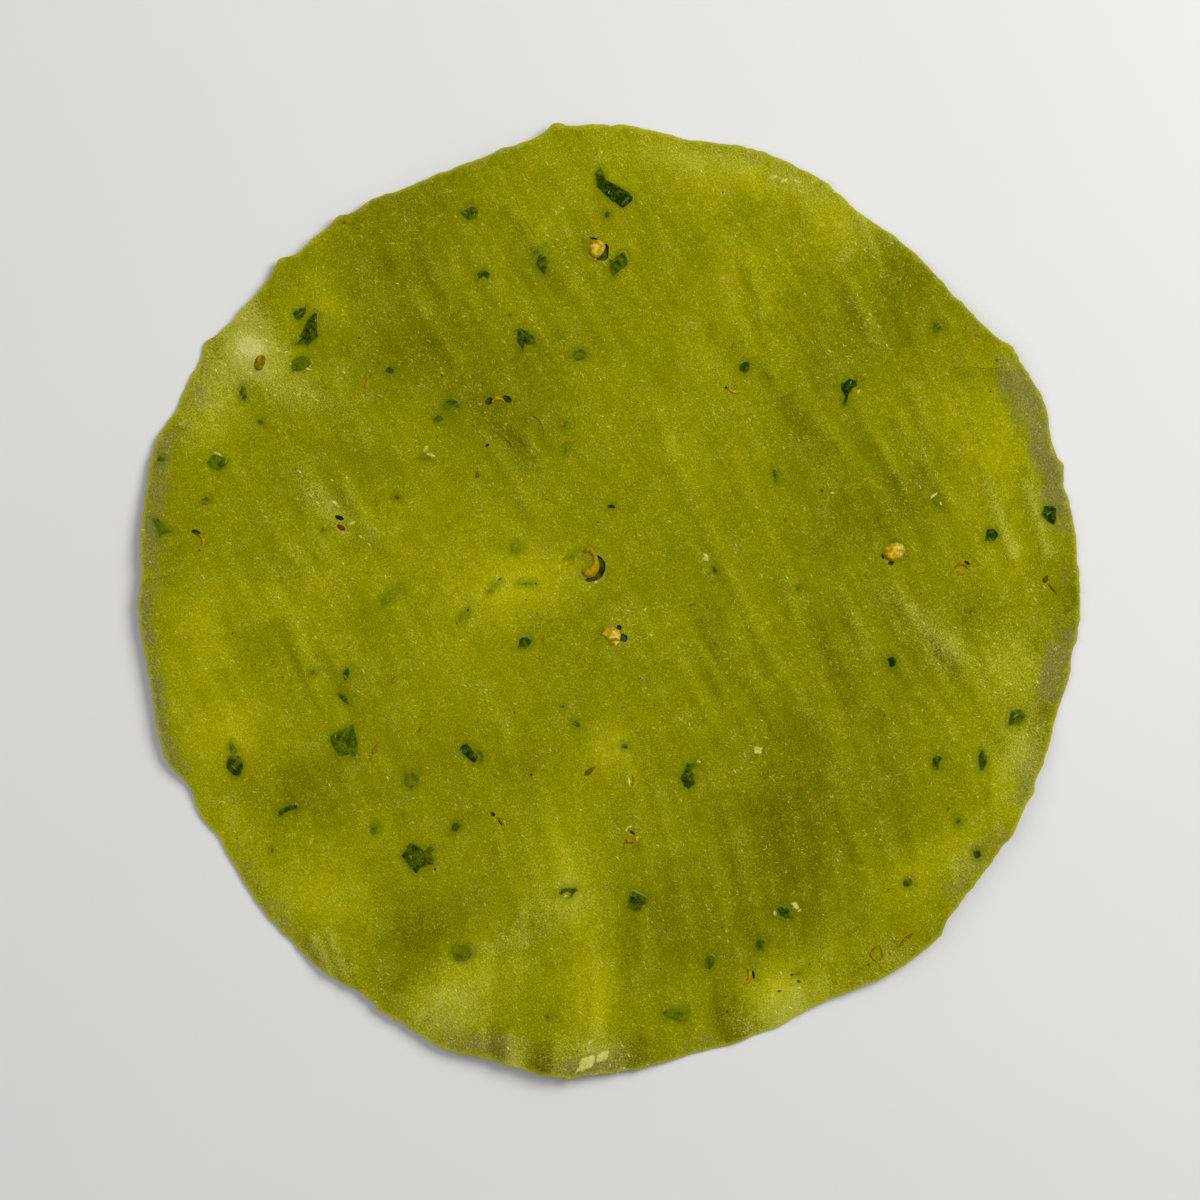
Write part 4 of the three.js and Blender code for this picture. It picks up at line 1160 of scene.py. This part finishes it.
def place_copy(master, x, y, length, width, turn):
    """A copy of a slab drawn 2 long and 2 wide, stretched, turned and moved to its place."""
    copy = bpy.data.objects.new(master.name, master.data.copy())
    bpy.context.scene.collection.objects.link(copy)
    copy.scale = (0.5 * length, 0.5 * width, 1)
    copy.rotation_euler.z = math.radians(turn)
    copy.location = (x, y, 0)
    pick(copy)
    bpy.ops.object.transform_apply(location=True, rotation=True, scale=True)
    return copy


def sheet_tree():
    """The sheet as it stands, for finding its height at a place."""
    return BVHTree.FromObject(bpy.data.objects[SHEET], bpy.context.evaluated_depsgraph_get())


def sheet_heights(tree, points):
    """The height of the sheet's upper face at each point, in millimetres."""
    heights = []
    for x, y, _ in points * MM:
        hit = tree.ray_cast(Vector((x, y, 1)), Vector((0, 0, -1)))[0]
        if hit is None:
            hit = tree.find_nearest(Vector((x, y, 0)))[0]
        heights.append(hit.z / MM)
    return np.array(heights)


def facing(points, side):
    """How far towards one side of a bit each point lies: 1 at that end, -1 at the other."""
    reach = points[:, :2] @ (math.cos(math.radians(side)), math.sin(math.radians(side)))
    middle = 0.5 * (reach.max() + reach.min())
    return (reach - middle) / (reach.max() - middle)


def settle(bit, tree, outline, sink, crown, lean=0, side=0, **marks):
    """Shapes a slab's top by its distance from the outline, sinks it in and lays it on the sheet.

    It leans down by that much towards one side, given in degrees.
    """
    points = points_of(bit)
    inset = outline_distance(points, outline)
    ahead = facing(points, side)
    share = np.clip(points[:, 2] / SLAB + 0.5, 0, 1)
    rise = share * (sink + crown(inset, points) - lean * ahead) - sink
    points[:, 2] = rise + sheet_heights(tree, points)
    set_points(bit, points)
    set_attribute(bit, "inset", inset)
    set_attribute(bit, "rise", rise)
    set_attribute(bit, "facing", ahead)
    for name, value in marks.items():
        set_attribute(bit, name, value)
    return bit


def unevenness(points, size):
    """Smooth noise around zero at each point."""
    return np.array([noise.noise(Vector(point) / size) for point in points * (1, 1, 0)])


def join_bits(name, bits):
    """Joins like bits to one piece, in metres."""
    pick(bits[0])
    for bit in bits:
        bit.select_set(True)
    bpy.ops.object.join()
    piece = bpy.context.object
    piece.name = name
    piece.data.name = name
    piece.scale = (MM, MM, MM)
    bpy.ops.object.transform_apply(location=False, rotation=False, scale=True)
    bpy.ops.object.shade_smooth()
    paint_dough(piece)
    return piece


def scattered(seed, count, reach):
    """Places spread evenly at random over the sheet, with the generator that drew them."""
    generator = random.Random(seed)
    for _ in range(count):
        radius = reach * math.sqrt(generator.random())
        angle = generator.uniform(0, math.tau)
        yield generator, radius * math.cos(angle), radius * math.sin(angle)


def domed(lip, height, edge, rough=0, size=1):
    """How a bit's top rises: a lip on its outline, its height from the edge's width inwards, and a
    roughness of some size, as a share of that height."""

    def crown(inset, points):
        rise = height * smooth(inset / edge)
        if rough:
            rise = rise * (1 + rough * unevenness(points, size))
        return lip + rise

    return crown


def lay_copies(shape, cell, rows, sink, crown):
    """Copies of one shape laid on the sheet; a row has x, y, length, width, turn and its marks."""
    tree = sheet_tree()
    master = cut_slab(shape, cell)
    bits = []
    for *place, marks in rows:
        copy = place_copy(master, *place)
        bits.append(settle(copy, tree, placed(shape, *place), sink, crown, **marks))
    bpy.data.objects.remove(master)
    return bits


def scatter_chilli(chilli):
    """The flakes of chilli skin, and the crumbs of it between them."""
    tree = sheet_tree()
    crown = domed(lip=0.02, height=chilli.proud / MM, edge=0.5, rough=0.5, size=0.8)

    def lay(flake, outline, side, tint, veil):
        bits.append(
            settle(flake, tree, outline, FLAKE_SINK, crown, side=side, tint=tint, veil=veil, stain=1)
        )

    bits = []
    for x, y, tint, veil, side, outline in DRAWN_FLAKES:
        outline = placed(outline, x, y, 2 * FLAKE_SPREAD, 2 * FLAKE_SPREAD)
        lay(cut_slab(outline, FLAKE_CELL), outline, side, tint, veil)
    masters = {name: cut_slab(outline, SMALL_FLAKE_CELL) for name, outline in FLAKE_CUTS.items()}
    crumbs = {name: cut_slab(outline, CRUMB_CELL) for name, outline in FLAKE_CUTS.items()}
    rows = list(SMALL_FLAKES)
    for generator, x, y in scattered(CRUMB_DRAW, chilli.crumbs, CRUMB_REACH):
        length = generator.uniform(*CRUMB_LENGTH)
        width = length * generator.uniform(*CRUMB_WIDTH)
        cut = generator.choice(sorted(FLAKE_CUTS))
        turn = generator.uniform(0, 180)
        rows.append((x, y, length, width, turn, CRUMB_TINT, generator.uniform(*CRUMB_VEIL), cut))
    for x, y, length, width, turn, tint, veil, cut in rows:
        outline = placed(FLAKE_CUTS[cut], x, y, length, width, turn)
        master = masters[cut] if length > CRUMB_LENGTH[1] else crumbs[cut]
        copy = place_copy(master, x, y, length, width, turn)
        lay(copy, outline, SIDE_BY_TURN * turn + SIDE_BY_LENGTH * length, tint, veil)
    for master in (*masters.values(), *crumbs.values()):
        bpy.data.objects.remove(master)
    return join_bits("chilli_flakes", bits)


def bow_outline(x0, y0, x1, y1, rise, thickness):
    """The outline of a bowed strip between two places, thickest in its middle."""
    run = Vector((x1 - x0, y1 - y0))
    left = Vector((-run.y, run.x)).normalized()
    inner = []
    outer = []
    for step in range(BOW_STEPS + 1):
        share = step / BOW_STEPS
        bulge = math.sin(math.pi * share)
        spine = Vector((x0, y0)) + share * run + rise * bulge**0.8 * left
        half = 0.5 * thickness * (BOW_TIP + (1 - BOW_TIP) * bulge)
        inner.append(tuple(spine - half * left))
        outer.append(tuple(spine + half * left))
    return inner + outer[::-1]


def set_seeds(seeds):
    """The open chilli seeds, and the rims of the buried ones."""
    tree = sheet_tree()
    husk = domed(lip=SEED_LIP, height=seeds.proud / MM - SEED_LIP, edge=SEED_EDGE)
    bow = domed(lip=0.1, height=0.2, edge=0.2)
    bits = []
    for x, y, tint, dish, lean, side, outline in OPEN_SEEDS:
        outline = placed(outline, x, y)

        def open_crown(inset, points):
            hollow = dish * smooth((inset - DISH_RIM) / DISH_SLOPE) + soft_spots(points, SEED_DENTS)
            height, size = SEED_ROUGHNESS
            return husk(inset, points) + height * unevenness(points, size) - hollow

        slab = cut_slab(outline, SEED_CELL)
        bits.append(settle(slab, tree, outline, SEED_SINK, open_crown, lean, side, tint=tint))

    def bow_crown(inset, points):
        height, size = BOW_ROUGHNESS
        return bow(inset, points) + height * unevenness(points, size)

    for *strip, tint in SEED_BOWS:
        outline = bow_outline(*strip)
        slab = cut_slab(outline, BOW_CELL)
        bits.append(settle(slab, tree, outline, SEED_SINK, bow_crown, side=90, tint=tint))
    return join_bits("chilli_seeds", bits)


def set_cumin():
    """The cumin and the other small husks."""
    rows = [(*place, {"tint": tint}) for *place, tint in CUMIN_SEEDS]
    crown = domed(lip=0.07, height=0.2, edge=0.25)
    return join_bits("cumin_seeds", lay_copies(SPINDLE, HUSK_CELL, rows, FLAKE_SINK, crown))


def grind_pepper(seeds):
    """The pepper specks that stand out, and the scattered ones."""
    rows = [(*place, {"tint": red}) for *place, red in PEPPER_SPECKS]
    for generator, x, y in scattered(SPECK_DRAW, seeds.specks, SPECK_REACH):
        length = generator.uniform(*SPECK_LENGTH)
        width = length * generator.uniform(*SPECK_WIDTH)
        turn = generator.uniform(0, 180)
        rows.append((x, y, length, width, turn, {"tint": generator.random() ** RED_POWER}))
    crown = domed(lip=0.01, height=0.1, edge=0.15)
    return join_bits("pepper_specks", lay_copies(SPECK, SPECK_CELL, rows, SPECK_SINK, crown))


def dust_crumbs():
    """The pale crumbs of dry dough, and the sheet's fine creases."""
    rows = [(*row, {"veil": min(0, CRUMB_PALING * (row[3] - WIDE_CRUMB))}) for row in DRY_CRUMBS]
    crown = domed(lip=0.01, height=0.2, edge=0.5, rough=1, size=0.5)
    bits = lay_copies(RAGGED, DRY_CELL, rows, SPECK_SINK, crown)
    tree = sheet_tree()
    ridge = domed(lip=0, height=CREASE_HEIGHT, edge=0.3)
    for strip in CREASES:
        outline = bow_outline(*strip)
        slab = cut_slab(outline, CREASE_CELL)
        bits.append(settle(slab, tree, outline, SPECK_SINK, ridge, veil=1.0))
    return join_bits("dry_crumbs", bits)


def wide_gap_outlines():
    """The outlines of the wider gaps."""
    return [placed(outline, x, y) for x, y, outline in DRAWN_GAPS]


def gap_outlines():
    """The outlines of all gaps."""
    return [placed(SPECK, *gap) for gap in GAPS] + wide_gap_outlines()


def flake_outlines():
    """The outlines of the flakes that stain the dough."""
    drawn = [placed(outline, x, y) for x, y, _, _, _, outline in DRAWN_FLAKES]
    return drawn + [placed(FLAKE_CUTS[row[7]], *row[:5]) for row in SMALL_FLAKES]


def seed_outlines():
    """The outlines of the larger open seeds."""
    return [placed(row[-1], *row[:2]) for row in OPEN_SEEDS if len(row[-1]) > LARGE_SEED]


def halo(points, outlines, reach):
    """A soft ring along each outline: 1 on the outline, 0 at its reach and beyond."""
    ring = np.zeros(len(points))
    for outline in outlines:
        low = np.min(outline, axis=0) - reach
        high = np.max(outline, axis=0) + reach
        near = np.flatnonzero(np.all((points[:, :2] > low) & (points[:, :2] < high), axis=1))
        if len(near):
            share = 1 - outline_distance(points[near], outline) / reach
            ring[near] = np.maximum(ring[near], share)
    return ring


def finish_sheet(dough):
    """Opens the gaps beside the seeds, then stores what the sheet's finish reads."""
    sheet = bpy.data.objects[SHEET]
    tree = sheet_tree()
    sheet.data.materials.clear()
    sheet.data.materials.append(dough_material(dough))
    sheet.data.materials.append(gap_shade_material(dough))
    cutters = []
    for outline in gap_outlines():
        cutter = cut_slab(outline, 0)
        points = points_of(cutter)
        top = sheet_heights(tree, points)
        points[:, 2] = np.where(points[:, 2] > 0, CUTTER_TOP, top - GAP_DEPTH)
        set_points(cutter, points)
        cutters.append(cutter)
    pick(cutters[0])
    for cutter in cutters:
        cutter.select_set(True)
    bpy.ops.object.join()
    cutter = bpy.context.object
    cutter.scale = (MM, MM, MM)
    bpy.ops.object.transform_apply(location=False, rotation=False, scale=True)
    for material in sheet.data.materials:
        cutter.data.materials.append(material)
    for face in cutter.data.polygons:
        face.material_index = 1
    apply_modifier(
        sheet, "BOOLEAN", operation="DIFFERENCE", solver="EXACT", object=cutter, material_mode="INDEX"
    )
    bpy.data.objects.remove(cutter)
    if not sheet.data.polygons:
        raise RuntimeError("The gaps have cut the whole sheet away")
    pick(sheet)
    bpy.ops.object.shade_smooth_by_angle(angle=math.radians(SMOOTH_ANGLE))
    paint_dough(sheet)
    points = points_of(sheet) / MM
    upper = np.array([vertex.normal.z > 0 for vertex in sheet.data.vertices])
    stain = halo(points, flake_outlines() + seed_outlines(), STAIN_REACH)
    lip = halo(points, wide_gap_outlines() + seed_outlines(), LIP_REACH)
    set_attribute(sheet, "stain", upper * stain)
    set_attribute(sheet, "lip", upper * lip)
    set_attribute(sheet, "edge", smooth(1 - rim_inset(points) / EDGE_WIDTH))
    return sheet


def set_stage(stage):
    """The pale table, two soft lights, an even sky and the camera straight above."""
    bpy.ops.object.select_all(action="DESELECT")
    bpy.ops.mesh.primitive_plane_add(size=FLOOR_SIZE, location=(0, 0, -FLOOR_DROP * MM))
    floor = bpy.context.object
    floor.name = "pale_table"
    bpy.ops.object.transform_apply(location=True)
    floor.data.materials.append(floor_material(stage))
    floor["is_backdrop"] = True
    for name, place, size, power in LIGHTS:
        bpy.ops.object.light_add(type="AREA", location=place)
        lamp = bpy.context.object
        lamp.name = name
        lamp.data.size = size
        lamp.data.energy = getattr(stage, power)
        lamp.rotation_euler = (-lamp.location).to_track_quat("-Z", "Y").to_euler()
    scene = bpy.context.scene
    world = bpy.data.worlds.new("studio")
    world.use_nodes = True
    background = world.node_tree.nodes["Background"]
    background.inputs["Color"].default_value = (1, 1, 1, 1)
    background.inputs["Strength"].default_value = stage.sky
    scene.world = world
    scene.view_settings.view_transform = "Standard"
    x, y = CAMERA_PLACE
    height = stage.frame_width * stage.lens / SENSOR_WIDTH + SHEET_LEVEL * MM
    bpy.ops.object.camera_add(location=(x * MM, y * MM, height), rotation=(0, 0, 0))
    camera = bpy.context.object
    camera.name = "camera"
    camera.data.lens = stage.lens
    camera.data.sensor_width = SENSOR_WIDTH
    camera.data.clip_start = CLIP_START
    scene.camera = camera


class PAPADUM_OT_roll_sheet(bpy.types.Operator):
    """Roll out the wavy sheet of dried dough"""

    bl_idname = "papadum.roll_sheet"
    bl_label = "Roll sheet"

    def execute(self, context):
        hand_over(roll_sheet(context.scene.papadum_dough))
        return {"FINISHED"}


class PAPADUM_OT_scatter_chilli(bpy.types.Operator):
    """Lay the chopped green chilli into the sheet"""

    bl_idname = "papadum.scatter_chilli"
    bl_label = "Scatter chilli"

    def execute(self, context):
        chilli = context.scene.papadum_chilli
        piece = scatter_chilli(chilli)
        piece.data.materials.append(chilli_material(context.scene.papadum_dough, chilli))
        hand_over(piece)
        return {"FINISHED"}


class PAPADUM_OT_set_seeds(bpy.types.Operator):
    """Set the chilli seeds into the sheet"""

    bl_idname = "papadum.set_seeds"
    bl_label = "Set chilli seeds"

    def execute(self, context):
        piece = set_seeds(context.scene.papadum_seeds)
        piece.data.materials.append(seed_material(context.scene.papadum_dough, context.scene.papadum_seeds))
        hand_over(piece)
        return {"FINISHED"}


class PAPADUM_OT_set_cumin(bpy.types.Operator):
    """Set the cumin and the small husks into the sheet"""

    bl_idname = "papadum.set_cumin"
    bl_label = "Set cumin"

    def execute(self, context):
        piece = set_cumin()
        piece.data.materials.append(cumin_material(context.scene.papadum_dough, context.scene.papadum_seeds))
        hand_over(piece)
        return {"FINISHED"}


class PAPADUM_OT_grind_pepper(bpy.types.Operator):
    """Grind pepper over the sheet"""

    bl_idname = "papadum.grind_pepper"
    bl_label = "Grind pepper"

    def execute(self, context):
        piece = grind_pepper(context.scene.papadum_seeds)
        piece.data.materials.append(pepper_material(context.scene.papadum_seeds))
        hand_over(piece)
        return {"FINISHED"}


class PAPADUM_OT_dust_crumbs(bpy.types.Operator):
    """Dust the sheet with pale crumbs of dry dough and raise its fine creases"""

    bl_idname = "papadum.dust_crumbs"
    bl_label = "Dust crumbs"

    def execute(self, context):
        piece = dust_crumbs()
        piece.data.materials.append(crumb_material(context.scene.papadum_dough))
        hand_over(piece)
        return {"FINISHED"}


class PAPADUM_OT_finish_sheet(bpy.types.Operator):
    """Open the gaps beside the seeds and finish the sheet"""

    bl_idname = "papadum.finish_sheet"
    bl_label = "Finish sheet"

    def execute(self, context):
        finish_sheet(context.scene.papadum_dough)
        return {"FINISHED"}


class PAPADUM_OT_set_stage(bpy.types.Operator):
    """Set the pale table, the soft light and the camera"""

    bl_idname = "papadum.set_stage"
    bl_label = "Set stage"

    def execute(self, context):
        set_stage(context.scene.papadum_stage)
        return {"FINISHED"}


STEPS = (
    PAPADUM_OT_roll_sheet,
    PAPADUM_OT_scatter_chilli,
    PAPADUM_OT_set_seeds,
    PAPADUM_OT_set_cumin,
    PAPADUM_OT_grind_pepper,
    PAPADUM_OT_dust_crumbs,
    PAPADUM_OT_finish_sheet,
    PAPADUM_OT_set_stage,
)
GROUPS = {
    "papadum_dough": PapadumDough,
    "papadum_chilli": PapadumChilli,
    "papadum_seeds": PapadumSeeds,
    "papadum_stage": PapadumStage,
}


class PAPADUM_PT_panel(bpy.types.Panel):
    """The papadum's pieces and their settings"""

    bl_idname = "PAPADUM_PT_panel"
    bl_label = "Papadum"
    bl_space_type = "VIEW_3D"
    bl_region_type = "UI"
    bl_category = "Papadum"

    def draw(self, context):
        for step in STEPS:
            self.layout.operator(step.bl_idname)
        for name, group in GROUPS.items():
            box = self.layout.box()
            for setting in group.__annotations__:
                box.prop(getattr(context.scene, name), setting)


CLASSES = (*GROUPS.values(), *STEPS, PAPADUM_PT_panel)


def register():
    """Registers the settings, the operators and the panel."""
    for entry in CLASSES:
        bpy.utils.register_class(entry)
    for name, group in GROUPS.items():
        setattr(bpy.types.Scene, name, PointerProperty(type=group))


def unregister():
    """Takes them out again."""
    for name in GROUPS:
        delattr(bpy.types.Scene, name)
    for entry in reversed(CLASSES):
        bpy.utils.unregister_class(entry)


def main():
    """Builds the papadum and its stage."""
    register()
    bpy.ops.papadum.roll_sheet()
    bpy.ops.papadum.scatter_chilli()
    bpy.ops.papadum.set_seeds()
    bpy.ops.papadum.set_cumin()
    bpy.ops.papadum.grind_pepper()
    bpy.ops.papadum.dust_crumbs()
    bpy.ops.papadum.finish_sheet()
    bpy.ops.papadum.set_stage()
    boxes = {"cad": CAD_BOX, "visual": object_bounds()}
    {name: [list(corner) for corner in box] for name, box in boxes.items()}


if __name__ == "__main__":
    main()
